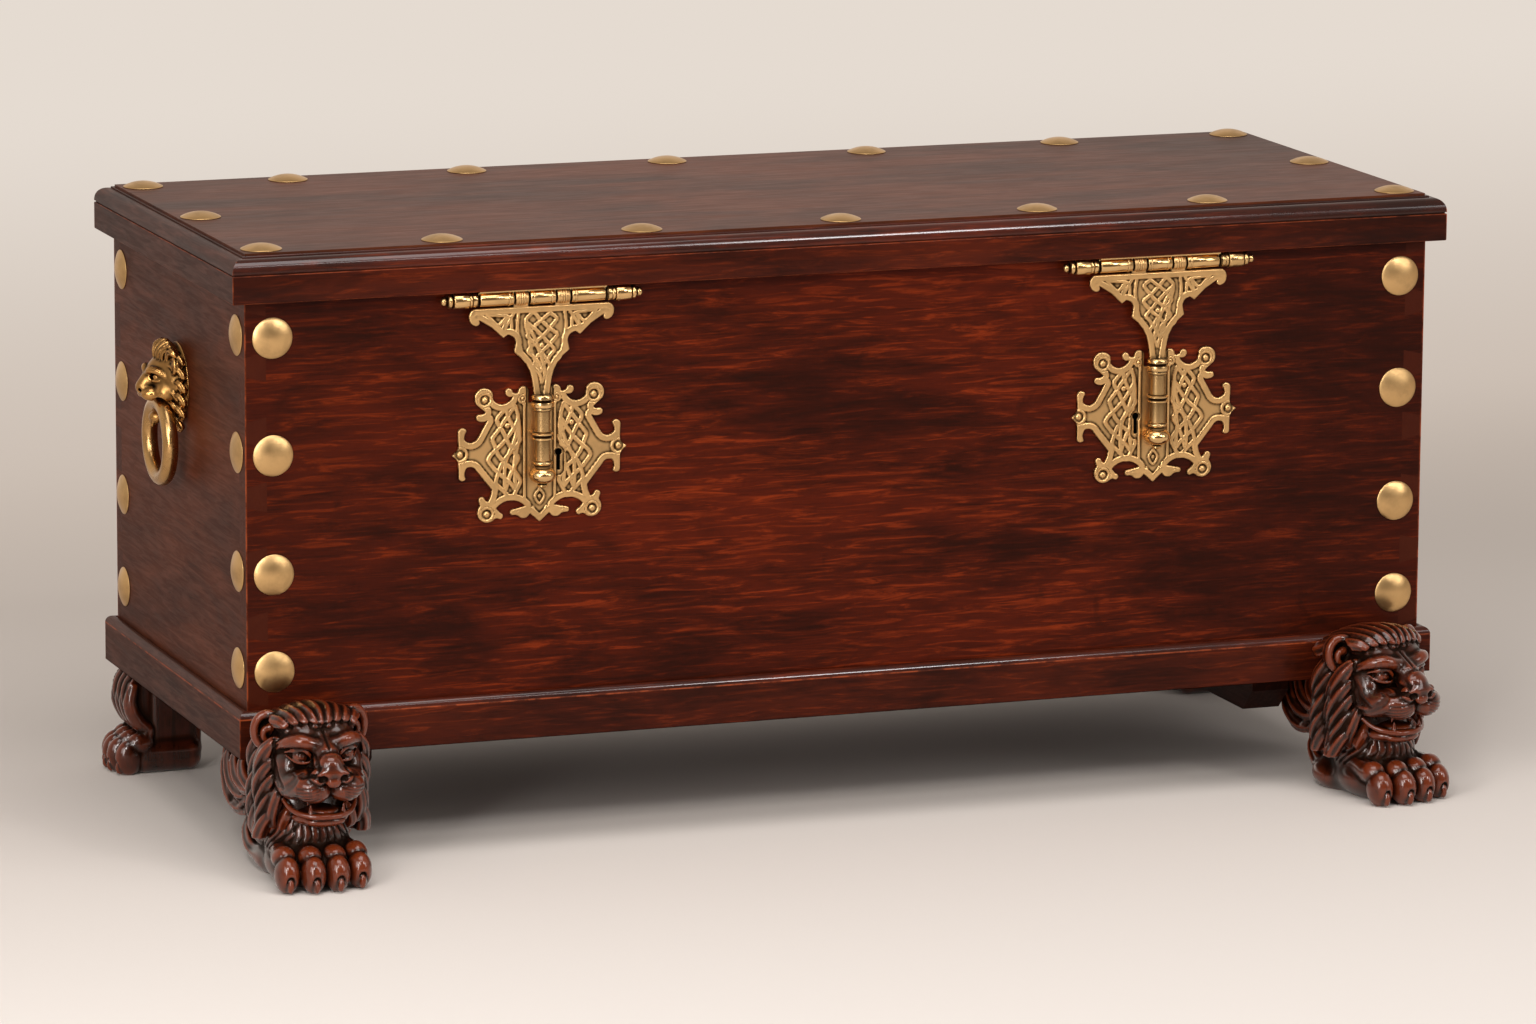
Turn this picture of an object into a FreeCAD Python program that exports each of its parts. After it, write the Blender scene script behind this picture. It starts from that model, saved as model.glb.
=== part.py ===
"""A lidded chest on carved lion feet, with domed studs, two hasp locks and two ring handles.

Everything is modelled about the middle of the case, with +X to the right, +Y to the back and the
floor at zero, and is moved along Y at the end so that the origin is under the middle of the whole.
"""
import FreeCAD, Part
import math
import os

os.makedirs("parts", exist_ok=True)
V = FreeCAD.Vector

# Case
case_length = 1170.0
case_depth = 440.0
board = 20.0
foot_height = 105.0
case_height = 420.0
bottom_thickness = 18.0
tail_count = 7
tail_root_share = 0.54
tail_tip_share = 0.70

# Base moulding round the foot of the case
plinth_reach = 10.0
plinth_height = 44.0
plinth_bead = 7.0
plinth_quirk = 1.2

# Bearers under the bottom
bearer_width = 38.0
bearer_height = 48.0
bearer_length = 300.0
bearer_inset = 121.0
bearer_nose = 22.0

# Lid
lid_overhang = 15.0
rim_height = 26.0
rim_width = 35.0
lid_thickness = 18.0
moulding_width = 16.0
moulding_step = 1.5
moulding_height = 16.0
moulding_fillet = 3.0
moulding_roll_inset = 3.9

# Domed studs
stud_radius = 19.0
stud_height = 5.5
stud_shank = 4.0
stud_length = 14.0
stud_ring_shares = [1.0, 0.6, 0.25]
stud_inset = 26.0
stud_level_shares = [0.1857, 0.4, 0.6619, 0.919]
lid_stud_inset = 22.0
front_row_shares = [-1.0, -0.695, -0.352, -0.004, 0.346, 0.655, 1.0]
back_row_shares = [-1.0, -0.745, -0.425, -0.06, 0.31, 0.675, 1.0]

# Hinges of the lid
hinge_place_share = 0.65
hinge_width = 60.0
hinge_leaf = 2.5
hinge_case_leaf_height = 46.0
hinge_lid_leaf_depth = 18.0
hinge_knuckle = 5.5
hinge_pin = 2.5
hinge_pin_head = 1.0

# Running clearances
knuckle_gap = 0.3
pin_clearance = 0.05
free_gap = 0.3

# Hasps
hasp_place_share = 0.5222
hasp_drop = 8.0
hasp_reach = 8.0
hasp_knuckle = 6.6
hasp_pin = 2.6
hasp_leaf = 1.2
hasp_leaf_front = 1.0
hasp_web = 4.0
knuckle_widths = [34.0, 14.0, 26.0, 14.0, 34.0]
strap_thickness = 2.5
strap_top_drop = 16.2
strap_half_width = 69.5
strap_height = 92.8
strap_tang = 8.0
strap_tang_half = 5.0
strap_web = 2.5

# Turned bar of the hasp
bar_out = 11.0
bar_top_drop = 98.0
bar_length = 87.0
bar_radius = 7.2
bar_ball = 12.5
bar_ball_drop = 74.8
bar_ball_half_height = 6.8
bar_back_gap = 0.3

# Staple of the hasp
staple_thickness = 4.0
staple_height = 20.0
staple_centre_drop = 143.0
staple_reach = 7.0
staple_end = 2.8
staple_tang = 12.0
eye_depth = 3.4
eye_height = 9.2

# Lock plates and locks
plate_thickness = 2.5
plate_half_width = 84.5
plate_drop = 89.0
plate_height = 129.0
slot_gap = 0.6
slot_fall = 1.4
keyhole_offset = 18.5
keyhole_fall = 154.0
keyhole_radius = 3.3
keyhole_slot = 3.0
keyhole_drop = 17.0
lock_left = 12.0
lock_right = 33.0
lock_low_drop = 180.0
lock_high_drop = 109.0
lock_wall = 2.0
lock_setback = 0.5
lock_bolt_length = 26.0
lock_bolt_height = 8.0
lock_bolt_thickness = 2.6
lock_bolt_withdrawn = 3.0
lock_notch = 7.0
lock_notch_depth = 2.6
guide_width = 4.0
guide_height = 14.0

# Ring handles on the ends
mask_drop = 128.3
mask_half_width = 44.0
mask_above = 60.0
mask_below = 24.0
mask_depth = 43.0
ring_out = 18.0
ring_radius = 35.3
ring_wire = 6.2
ring_sector_start_angle = -30.0
ring_sector_angle = 186.0
mask_socket_share = 0.92
mask_socket_step_shares = [1.0, 0.75, 0.45]
handle_bolt = 4.0
handle_bolt_level = 32.0
handle_bolt_depth = 9.0
handle_nut_width = 7.0
handle_nut_height = 6.0
handle_bolt_end = 2.0

# Lion feet at the front
front_foot_inset = 50.0
front_toe_out = 120.0
heel_in = 30.0
paw_half_width = 46.0
paw_height = 46.0
toe_length = 56.0
toe_height = 35.0
head_half_width = 57.0
head_low = 52.0
head_high = 167.0
ear_radius = 14.0
ear_thickness = 12.0
ear_offset = 46.5
ear_reach_share = 0.4145
ear_level = 139.0
mouth_low = 60.0
mouth_high = 76.0
mouth_depth_share = 0.4
mouth_half_width = 25.0
leg_half_width = 41.0
scroll_radius = 38.0
scroll_in = 80.0
scroll_half_width = 43.0
scroll_level = 34.0

# Paw feet at the rear
rear_paw_out = 20.0
rear_paw_half_width = 40.0
rear_toe_out = 25.0
rear_heel_in = 73.0
rear_paw_height = 32.0
rear_toe_height = 42.0
rear_toe_length = 44.0
rear_leg_half_width = 34.0
rear_scroll_radius = 28.0
rear_scroll_inset = 13.0

# How far the sections of the carvings are squared off
soft_share = 0.9
full_share = 0.75

# How finely the carved and turned pieces are stepped
turned_sides = 10
carved_sides = 10
sole_sides = 6
ring_steps = 20
ring_sector_steps = 6
ring_sides = 8
arc_step_angle = 66.0
overrun = 5.0

half_length = case_length / 2
half_depth = case_depth / 2
case_top = foot_height + case_height
lid_half_length = half_length + lid_overhang
lid_half_depth = half_depth + lid_overhang
rim_top = case_top + rim_height
lid_top = rim_top + lid_thickness
hinge_y = half_depth + hinge_knuckle + knuckle_gap
hinge_z = case_top - hinge_knuckle - knuckle_gap
hasp_y = -half_depth - hasp_reach
hasp_z = case_top - hasp_drop
bar_y = -half_depth - bar_out
lock_face = -half_depth - plate_thickness
staple_z = case_top - staple_centre_drop
ring_z = case_top - mask_drop
hinge_offset = hinge_place_share * half_length
hasp_offset = hasp_place_share * half_length
head_back = half_depth + plinth_reach
toe_reach = half_depth + front_toe_out
heel_reach = half_depth - heel_in
scroll_reach = half_depth - scroll_in
rear_reach = half_depth + rear_paw_out
rear_toe_tip = half_length + rear_toe_out
rear_heel = half_length - rear_heel_in
centre_shift = (toe_reach - rear_reach) / 2


def box(x0, x1, y0, y1, z0, z1):
    """A block between three pairs of planes."""
    return Part.makeBox(x1 - x0, y1 - y0, z1 - z0, V(x0, y0, z0))


def flat(points):
    """A flat face through a closed run of points."""
    return Part.Face(Part.makePolygon(points + points[:1]))


def mirrored(shape):
    """The same piece for the other end of the chest."""
    return shape.mirror(V(0, 0, 0), V(1, 0, 0))


def solid_of(faces):
    """A closed solid from its faces, with the skin facing out."""
    solid = Part.Solid(Part.Shell(faces))
    if solid.Volume < 0:
        solid.reverse()
    return solid


def skin(rings, planar=False):
    """Close a solid over rings of points, in flat quads or in triangles."""
    faces = [flat(rings[0]), flat(rings[-1])]
    for near, far in zip(rings, rings[1:]):
        for i, corner in enumerate(near):
            j = (i + 1) % len(near)
            if planar:
                faces.append(flat([corner, near[j], far[j], far[i]]))
            else:
                faces.append(flat([corner, near[j], far[j]]))
                faces.append(flat([corner, far[j], far[i]]))
    return solid_of(faces)


def turned(profile, foot, axis, sides=turned_sides, bore=False):
    """A turned piece in flat steps from (distance along the axis, radius) pairs.

    Its corners lie on the radius, so that it turns in its room, and the flats of a bore do.
    """
    side = V(0, 0, 1) if abs(axis.x) > 0.5 else V(1, 0, 0)
    other = axis.cross(side)
    rings = []
    for along, radius in profile:
        reach = radius / math.cos(math.pi / sides) if bore else radius
        ring = []
        for step in range(sides):
            angle = 2 * math.pi * (step + 0.5) / sides
            ring.append(foot + axis * along + side * (reach * math.cos(angle)) + other * (reach * math.sin(angle)))
        rings.append(ring)
    return skin(rings, planar=True)


def bulged(corners):
    """A closed run of (across, up) points from (across, up, bulge) corners.

    The bulge is the sagitta over half the chord of the arc to the next corner, and is positive where
    the arc swells to the left of the way it runs.
    """
    points = []
    for (x0, z0, bulge), (x1, z1, ignored) in zip(corners, corners[1:] + corners[:1]):
        points.append((x0, z0))
        sweep = 4 * math.atan(abs(bulge))
        steps = max(1, round(math.degrees(sweep) / arc_step_angle))
        if steps < 2:
            continue
        half_chord = math.hypot(x1 - x0, z1 - z0) / 2
        radius = half_chord / math.sin(sweep / 2)
        out = (-(z1 - z0) / (2 * half_chord), (x1 - x0) / (2 * half_chord))
        sign = math.copysign(1, bulge)
        drop = radius * math.cos(sweep / 2)
        centre = ((x0 + x1) / 2 - sign * out[0] * drop, (z0 + z1) / 2 - sign * out[1] * drop)
        start = math.atan2(z0 - centre[1], x0 - centre[0])
        for step in range(1, steps):
            angle = start - sign * sweep * step / steps
            points.append((centre[0] + radius * math.cos(angle), centre[1] + radius * math.sin(angle)))
    return points


def power(value, exponent):
    """A signed power, which squares off the sections of the carvings."""
    return math.copysign(abs(value) ** exponent, value)


def oval(middle, across, up, half_width, half_height, squareness):
    """One carved section: an oval whose corners fill out as the squareness falls."""
    points = []
    for step in range(carved_sides):
        angle = 2 * math.pi * (step + 0.5) / carved_sides
        points.append(middle + across * (half_width * power(math.cos(angle), squareness))
                      + up * (half_height * power(math.sin(angle), squareness)))
    return points


def arch(middle, across, half_width, height, squareness):
    """One carved section that stands on a flat sole."""
    points = []
    for step in range(sole_sides + 1):
        angle = math.pi * step / sole_sides
        points.append(middle + across * (half_width * power(math.cos(angle), squareness))
                      + V(0, 0, height * power(math.sin(angle), squareness)))
    return points


def frame_strip(section, half_x, half_y, width, side):
    """A strip of a mitred frame. The section is (outward, up) from the frame's inner edge."""
    lengthwise = side in ("front", "back")
    run = half_x if lengthwise else half_y
    inner = (half_y if lengthwise else half_x) - width
    reach = V(2 * run, 0, 0) if lengthwise else V(0, 2 * run, 0)
    sign = -1 if side in ("front", "left") else 1
    points = []
    for out, up in section:
        place = sign * (inner + out)
        points.append(V(-run, place, up) if lengthwise else V(place, -run, up))
    strip = flat(points).extrude(reach)
    low = min(up for out, up in section)
    high = max(up for out, up in section)
    if lengthwise:
        plan = [V(-half_x, sign * half_y, low), V(half_x, sign * half_y, low),
                V(half_x - width, sign * inner, low), V(-half_x + width, sign * inner, low)]
    else:
        plan = [V(sign * half_x, -half_y, low), V(sign * half_x, half_y, low),
                V(sign * inner, half_y - width, low), V(sign * inner, -half_y + width, low)]
    return strip.common(flat(plan).extrude(V(0, 0, high - low)))


def save(name, shape):
    """Move a finished piece to the shared frame and write it."""
    placed = shape.copy()
    placed.translate(V(0, centre_shift, 0))
    if not placed.isValid():
        raise ValueError(name + " is not valid")
    placed.exportStep("parts/" + name + ".step")


# Case boards


def tails(side_x, side_y):
    """The dovetails of a long board at one corner."""
    pitch = case_height / tail_count
    root = side_x * (half_length - board)
    tip = side_x * half_length
    face = side_y * half_depth
    pieces = []
    for i in range(tail_count):
        middle = foot_height + pitch * (i + 0.5)
        narrow = pitch * tail_root_share / 2
        wide = pitch * tail_tip_share / 2
        outline = [V(root, face, middle - narrow), V(tip, face, middle - wide),
                   V(tip, face, middle + wide), V(root, face, middle + narrow)]
        pieces.append(flat(outline).extrude(V(0, -side_y * board, 0)))
    return pieces


def long_board(side_y):
    """The front or the back board, with its dovetails."""
    outer = side_y * half_depth
    inner = side_y * (half_depth - board)
    plain = box(-half_length + board, half_length - board, min(outer, inner), max(outer, inner),
                foot_height, case_top)
    return plain.fuse(tails(-1, side_y) + tails(1, side_y)).removeSplitter()


def end_board(side_x):
    """An end board, cut to receive the dovetails, with the hole for the handle's bolt."""
    outer = side_x * half_length
    inner = side_x * (half_length - board)
    plain = box(min(outer, inner), max(outer, inner), -half_depth, half_depth, foot_height, case_top)
    plain = plain.cut(tails(side_x, -1) + tails(side_x, 1))
    return plain.cut(handle_bolt_piece(side_x))


def bottom_board():
    """The floor of the case, between the four boards."""
    return box(-half_length + board, half_length - board, -half_depth + board, half_depth - board,
               foot_height, foot_height + bottom_thickness)


def plinth_strip(side):
    """One side of the base moulding, with a bead along its upper edge."""
    top = foot_height + plinth_height
    out = plinth_reach
    bead_z = top - plinth_bead
    section = [(0, foot_height), (out, foot_height), (out, bead_z)]
    for step in range(1, 5):
        angle = math.pi / 2 * step / 5
        section.append((out - plinth_bead + plinth_bead * math.cos(angle), bead_z + plinth_bead * math.sin(angle)))
    section += [(out - plinth_bead, top), (plinth_quirk, top - plinth_quirk), (0, top - plinth_quirk)]
    return frame_strip(section, half_length + out, half_depth + out, out, side)


def bearer(side_x):
    """A bearer that runs from front to back beside the feet, with eased ends."""
    half = bearer_length / 2
    low = foot_height - bearer_height
    inner = side_x * (half_length - bearer_inset - bearer_width / 2)
    outline = [V(inner, -half, foot_height), V(inner, half, foot_height), V(inner, half, low + bearer_nose),
               V(inner, half - bearer_nose, low), V(inner, -half + bearer_nose, low),
               V(inner, -half, low + bearer_nose)]
    return flat(outline).extrude(V(side_x * bearer_width, 0, 0))


# Studs


def stud_shape():
    """A domed head on a square tapered shank, standing on the floor of its own frame."""
    ball = (stud_radius ** 2 + stud_height ** 2) / (2 * stud_height)
    rings = []
    for share in stud_ring_shares:
        radius = share * stud_radius
        rings.append((stud_height - ball + math.sqrt(ball ** 2 - radius ** 2), radius))
    head = turned(rings, V(0, 0, 0), V(0, 0, 1))
    return head.fuse(shank())


def shank():
    """A nail's shank: a square taper that ends in a point."""
    half = stud_shank / 2
    corners = [V(-half, -half, 0), V(half, -half, 0), V(half, half, 0), V(-half, half, 0)]
    point = V(0, 0, -stud_length)
    sides = [flat([near, far, point]) for near, far in zip(corners, corners[1:] + corners[:1])]
    return solid_of(sides + [flat(corners)])


def nailed(shape, place, out):
    """The same shape with its foot at a place and its head pointing outwards."""
    piece = shape.copy()
    piece.Placement = FreeCAD.Placement(place, FreeCAD.Rotation(V(0, 0, 1), out))
    return piece


def front_stud_places():
    """Two upright rows of studs near the ends of the front."""
    reach = half_length - stud_inset
    return [V(x, -half_depth, foot_height + share * case_height) for x in (-reach, reach) for share in stud_level_shares]


def end_stud_places(side_x):
    """Two upright rows of studs near the front and the back of an end."""
    reach = half_depth - stud_inset
    return [V(side_x * half_length, y, foot_height + share * case_height) for y in (-reach, reach)
            for share in stud_level_shares]


def lid_stud_places():
    """A row of studs along each long side of the lid and one between them at each end."""
    reach_x = lid_half_length - moulding_width - lid_stud_inset
    reach_y = lid_half_depth - moulding_width - lid_stud_inset
    places = [V(share * reach_x, -reach_y, lid_top) for share in front_row_shares]
    places += [V(share * reach_x, reach_y, lid_top) for share in back_row_shares]
    return places + [V(-reach_x, 0, lid_top), V(reach_x, 0, lid_top)]


def studs(places, out):
    """A group of studs, each a solid of its own."""
    shape = stud_shape()
    return Part.makeCompound([nailed(shape, place, out) for place in places])


def pockets(places, out):
    """The holes that the shanks fill."""
    shape = shank()
    return [nailed(shape, place, out) for place in places]


# Lid


def rim_strip(side):
    """One side of the frame that hangs over the case under the lid board."""
    section = [(0, case_top), (rim_width, case_top), (rim_width, rim_top), (0, rim_top)]
    return frame_strip(section, lid_half_length, lid_half_depth, rim_width, side)


def lid_board():
    """The top board, inside the moulding."""
    half_x = lid_half_length - moulding_width
    half_y = lid_half_depth - moulding_width
    plain = box(-half_x, half_x, -half_y, half_y, rim_top, lid_top)
    return plain.cut(pockets(lid_stud_places(), V(0, 0, 1)))


def moulding_strip(side):
    """One side of the rounded moulding round the top board."""
    width = moulding_width
    out = width - moulding_step
    top = rim_top + moulding_height
    crest = top - moulding_fillet / 2
    section = [(0, rim_top), (out, rim_top)]
    low = rim_top + moulding_step
    for step in range(6):
        angle = math.pi / 2 * step / 5
        section.append((moulding_roll_inset + (width - moulding_roll_inset) * power(math.cos(angle), soft_share),
                        low + (crest - low) * power(math.sin(angle), soft_share)))
    section += [(moulding_fillet, crest), (moulding_fillet, top), (0, top)]
    return frame_strip(section, lid_half_length, lid_half_depth, width, side)


# Hinges of the lid


def knuckle(x0, x1, y, z, radius, bore):
    """A hinge knuckle on a line along X."""
    length = x1 - x0
    body = turned([(0, radius), (length, radius)], V(x0, y, z), V(1, 0, 0))
    hole = turned([(0, bore), (length + 2 * overrun, bore)], V(x0 - overrun, y, z), V(1, 0, 0), bore=True)
    return body.cut(hole)


def clearing(x0, x1, y, z, radius):
    """The round room that a knuckle of the other leaf turns in."""
    return turned([(0, radius), (x1 - x0, radius)], V(x0, y, z), V(1, 0, 0), bore=True)


def hinge_case_leaf(x):
    """The upright leaf on the back of the case, with the two outer knuckles."""
    half = hinge_width / 2
    third = hinge_width / 6
    room = hinge_knuckle + knuckle_gap
    leaf = box(x - half, x + half, half_depth, half_depth + hinge_leaf, hinge_z - hinge_case_leaf_height, hinge_z)
    leaf = leaf.cut(clearing(x - third - knuckle_gap, x + third + knuckle_gap, hinge_y, hinge_z, room))
    leaf = leaf.cut(clearing(x - half, x + half, hinge_y, hinge_z, hinge_pin + pin_clearance))
    bore = hinge_pin + pin_clearance
    left = knuckle(x - half, x - third, hinge_y, hinge_z, hinge_knuckle, bore)
    right = knuckle(x + third, x + half, hinge_y, hinge_z, hinge_knuckle, bore)
    return leaf.fuse([left, right]).removeSplitter()


def hinge_lid_leaf(x):
    """The flat leaf under the lid's rim, with the middle knuckle."""
    half = hinge_width / 2
    third = hinge_width / 6
    room = hinge_knuckle + knuckle_gap
    leaf = box(x - half, x + half, half_depth - hinge_lid_leaf_depth, hinge_y, case_top - hinge_leaf, case_top)
    for x0, x1 in ((x - half, x - third + knuckle_gap), (x + third - knuckle_gap, x + half)):
        leaf = leaf.cut(clearing(x0, x1, hinge_y, hinge_z, room))
        leaf = leaf.cut(box(x0, x1, hinge_y - hinge_leaf, hinge_y, case_top - hinge_leaf, case_top))
    middle = knuckle(x - third + knuckle_gap, x + third - knuckle_gap, hinge_y, hinge_z, hinge_knuckle,
                     hinge_pin + pin_clearance)
    leaf = leaf.cut(clearing(x - third, x + third, hinge_y, hinge_z, hinge_pin + pin_clearance))
    return leaf.fuse(middle).removeSplitter()


def hinge_gain(x):
    """The shallow recess in the back board's top edge under the lid's leaf."""
    half = hinge_width / 2 + free_gap
    return box(x - half, x + half, half_depth - board, half_depth, case_top - hinge_leaf - free_gap, case_top)


def hinge_pin_piece(x):
    """A plain pin with two flat heads."""
    half = hinge_width / 2
    head = hinge_pin + hinge_pin_head
    outer = half + hinge_pin_head
    profile = [(-outer, head), (-half, head), (-half, hinge_pin), (half, hinge_pin), (half, head), (outer, head)]
    return turned(profile, V(x, hinge_y, hinge_z), V(1, 0, 0))


# Hasps, modelled about their own middle and then moved to the left


def knuckle_spans():
    """The start and end of each knuckle of the hasp, from left to right."""
    x = -sum(knuckle_widths) / 2
    spans = []
    for width in knuckle_widths:
        spans.append((x, x + width))
        x += width
    return spans


def hasp_fixed_leaf():
    """The narrow leaf under the lid's rim, with the first, third and last knuckles."""
    bore = hasp_pin + pin_clearance
    half = sum(knuckle_widths) / 2
    front = -lid_half_depth + hasp_leaf_front
    leaf = box(-half, half, front, -half_depth - hasp_leaf_front, case_top - hasp_leaf, case_top)
    pieces = []
    for index, (x0, x1) in enumerate(knuckle_spans()):
        if index % 2 == 0:
            x0 = x0 + knuckle_gap / 2
            x1 = x1 - knuckle_gap / 2
            web = box(x0, x1, hasp_y - hasp_web / 2, hasp_y + hasp_web / 2, hasp_z + hasp_web, case_top)
            pieces += [web, knuckle(x0, x1, hasp_y, hasp_z, hasp_knuckle, bore)]
    return leaf.fuse(pieces).removeSplitter()


def hasp_pin_piece():
    """The pin, with a turned cap, ring and button at each end, as shares of the knuckle's radius."""
    half = sum(knuckle_widths) / 2 + knuckle_gap
    finial_shares = [(0.0, 0.72), (1.0, 0.88), (1.15, 1.16), (3.5, 1.16), (3.65, 0.72), (4.4, 0.9), (4.6, 0.42),
                     (5.1, 0.58), (5.42, 0.2)]
    right = [(half + along * hasp_knuckle, radius * hasp_knuckle) for along, radius in finial_shares]
    left = [(-along, radius) for along, radius in reversed(right)]
    middle = [(-half, hasp_pin), (half, hasp_pin)]
    return turned(left + middle + right, V(0, hasp_y, hasp_z), V(1, 0, 0))


def strap_outline():
    """The right half of the strap's edge: corners as shares of its half width and height, and bulges."""
    top = case_top - strap_top_drop
    corner_shares = [(0.0, 0.0, 0), (0.93, 0.0, 0.4), (1.0, 0.1, 0.3), (0.93, 0.165, 0.9), (0.87, 0.11, -0.1),
                     (0.53, 0.305, 0), (0.475, 0.27, -0.4), (0.36, 0.355, 0), (0.385, 0.45, -0.1),
                     (0.215, 0.575, -0.1), (0.137, 0.72, 0), (0.105, 0.89, 0), (0.105, 1.0, 0), (0.0, 1.0, 0)]
    return bulged([(x * strap_half_width, top - z * strap_height, bulge) for x, z, bulge in corner_shares])


def hasp_strap():
    """The pierced strap that hangs from the second and fourth knuckles and ends in a tang."""
    y0 = hasp_y - strap_thickness / 2
    y1 = hasp_y + strap_thickness / 2
    top = case_top - strap_top_drop
    right = flat([V(x, y0, z) for x, z in strap_outline()]).extrude(V(0, strap_thickness, 0))
    pieces = [mirrored(right), box(-strap_tang_half, strap_tang_half, y0, y1, top - strap_height - strap_tang,
                                   top - strap_height)]
    for index, (x0, x1) in enumerate(knuckle_spans()):
        if index % 2 == 1:
            x0 = x0 + knuckle_gap / 2
            x1 = x1 - knuckle_gap / 2
            web = box(x0, x1, hasp_y - strap_web / 2, hasp_y + strap_web / 2, top, hasp_z - hasp_web)
            pieces += [web, knuckle(x0, x1, hasp_y, hasp_z, hasp_knuckle, hasp_pin + pin_clearance)]
    return right.fuse(pieces).removeSplitter()


def bar_profile():
    """The turned bar from its top down, as shares of its length and of its shaft's radius."""
    shaft_shares = [(0.0, 1.3), (0.045, 1.42), (0.06, 1.1), (0.075, 1.4), (0.13, 1.4), (0.14, 1.0), (0.395, 1.0),
                    (0.4, 1.45), (0.43, 1.45), (0.44, 1.2), (0.48, 1.2), (0.49, 1.03), (0.76, 1.03)]
    tip_shares = [(0.945, 0.5), (0.97, 0.6), (1.0, 0.2)]
    profile = [(along * bar_length, radius * bar_radius) for along, radius in shaft_shares]
    for step in range(1, 5):
        angle = math.pi * step / 5
        profile.append((bar_ball_drop - bar_ball_half_height * math.cos(angle), bar_ball * math.sin(angle)))
    return profile + [(along * bar_length, radius * bar_radius) for along, radius in tip_shares]


def hasp_bar(strap, staple):
    """The turned bar, with a flat back, mortised for the strap's tang and the staple."""
    bar = turned(bar_profile(), V(0, bar_y, case_top - bar_top_drop), V(0, 0, -1))
    back = lock_face - bar_back_gap
    away = box(-2 * bar_ball, 2 * bar_ball, back, back + 2 * bar_ball, case_top - 2 * bar_top_drop, case_top)
    return bar.cut([away, strap, staple])


def hasp_staple():
    """The staple on the back of the bar, with the eye for the lock's bolt."""
    half = staple_thickness / 2
    inner = -half_depth + staple_reach
    body = box(-half, half, lock_face - bar_back_gap, inner, staple_z - staple_height / 2,
               staple_z + staple_height / 2)
    tang = box(-half, half, bar_y, lock_face - bar_back_gap, staple_z - staple_tang / 2, staple_z + staple_tang / 2)
    eye = box(-half - overrun, half + overrun, inner - staple_end - eye_depth, inner - staple_end,
              staple_z - eye_height / 2, staple_z + eye_height / 2)
    return body.fuse(tang).removeSplitter().cut(eye)


# Lock plates and locks


def staple_low():
    """How low the staple's inner corner passes as the hasp swings out."""
    inner = -half_depth + staple_reach
    return hasp_z - math.hypot(inner - hasp_y, hasp_z - staple_z + staple_height / 2)


def plate_outline():
    """The right half of the plate's scrolled edge, from the top centre round to the leaf at its foot.

    Corners are shares of the half width and of the height, with bulges.
    """
    corner_shares = [(0.0, 0.863, 0), (0.124, 0.863, 0), (0.124, 0.945, 1.1), (0.243, 0.94, -0.3),
                     (0.308, 0.948, 1.0), (0.391, 0.948, 0.6), (0.302, 0.917, -0.6), (0.527, 0.898, 0),
                     (0.535, 0.952, 1.05), (0.716, 0.867, 0), (0.615, 0.812, -0.3), (0.675, 0.797, 1.0),
                     (0.698, 0.75, 0.3), (0.592, 0.754, 0), (0.704, 0.626, -0.55), (0.858, 0.626, -0.2),
                     (0.828, 0.684, 0.9), (0.929, 0.669, 0), (0.923, 0.557, -0.15), (1.0, 0.512, -0.15),
                     (0.927, 0.464, 0), (0.923, 0.363, 0.9), (0.84, 0.34, -0.3), (0.834, 0.417, -0.45),
                     (0.722, 0.394, 0), (0.544, 0.25, -0.1), (0.586, 0.165, -0.3), (0.633, 0.196, 0.9),
                     (0.692, 0.165, 0), (0.68, 0.138, 1.0), (0.515, 0.037, -0.3), (0.456, 0.033, 1.0),
                     (0.45, 0.08, 0), (0.497, 0.115, -0.45), (0.166, 0.119, 0), (0.308, 0.099, 1.0),
                     (0.308, 0.057, -0.2), (0.243, 0.049, 0.6), (0.112, 0.064, 0), (0.059, 0.033, 0),
                     (0.0, 0.0, 0)]
    low = case_top - plate_drop - plate_height
    return bulged([(x * plate_half_width, low + z * plate_height, bulge) for x, z, bulge in corner_shares])


def lock_plate():
    """The scrolled plate on the front, with a slot for the staple and the keyhole."""
    right = flat([V(x, lock_face, z) for x, z in plate_outline()]).extrude(V(0, plate_thickness, 0))
    plate = right.fuse(mirrored(right)).removeSplitter()
    half = staple_thickness / 2 + slot_gap
    slot = box(-half, half, lock_face - overrun, 0, staple_low() - slot_gap, case_top)
    level = case_top - keyhole_fall
    length = plate_thickness + 2 * overrun
    hole = turned([(0, keyhole_radius), (length, keyhole_radius)], V(keyhole_offset, lock_face - overrun, level),
                  V(0, 1, 0), bore=True)
    drop = box(keyhole_offset - keyhole_slot / 2, keyhole_offset + keyhole_slot / 2, lock_face - overrun, 0,
               level - keyhole_drop, level)
    return plate.cut([slot, hole, drop])


def lock_room(grow):
    """The outside of the lock's case, grown by a clearance for the board's mortise."""
    return box(-lock_left - grow, lock_right + grow, -half_depth, -half_depth + board - lock_setback + grow,
               case_top - lock_low_drop - grow, case_top - lock_high_drop + grow)


def lock_bolt():
    """The sliding bolt, withdrawn, with a notch for the key."""
    middle = -half_depth + staple_reach - staple_end - eye_depth / 2
    half = lock_bolt_height / 2
    bolt = box(lock_bolt_withdrawn, lock_bolt_withdrawn + lock_bolt_length, middle - lock_bolt_thickness / 2,
               middle + lock_bolt_thickness / 2, staple_z - half, staple_z + half)
    notch = box(keyhole_offset - lock_notch / 2, keyhole_offset + lock_notch / 2, -half_depth, -half_depth + board,
                staple_z - half, staple_z - half + lock_notch_depth)
    return bolt.cut(notch)


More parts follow.
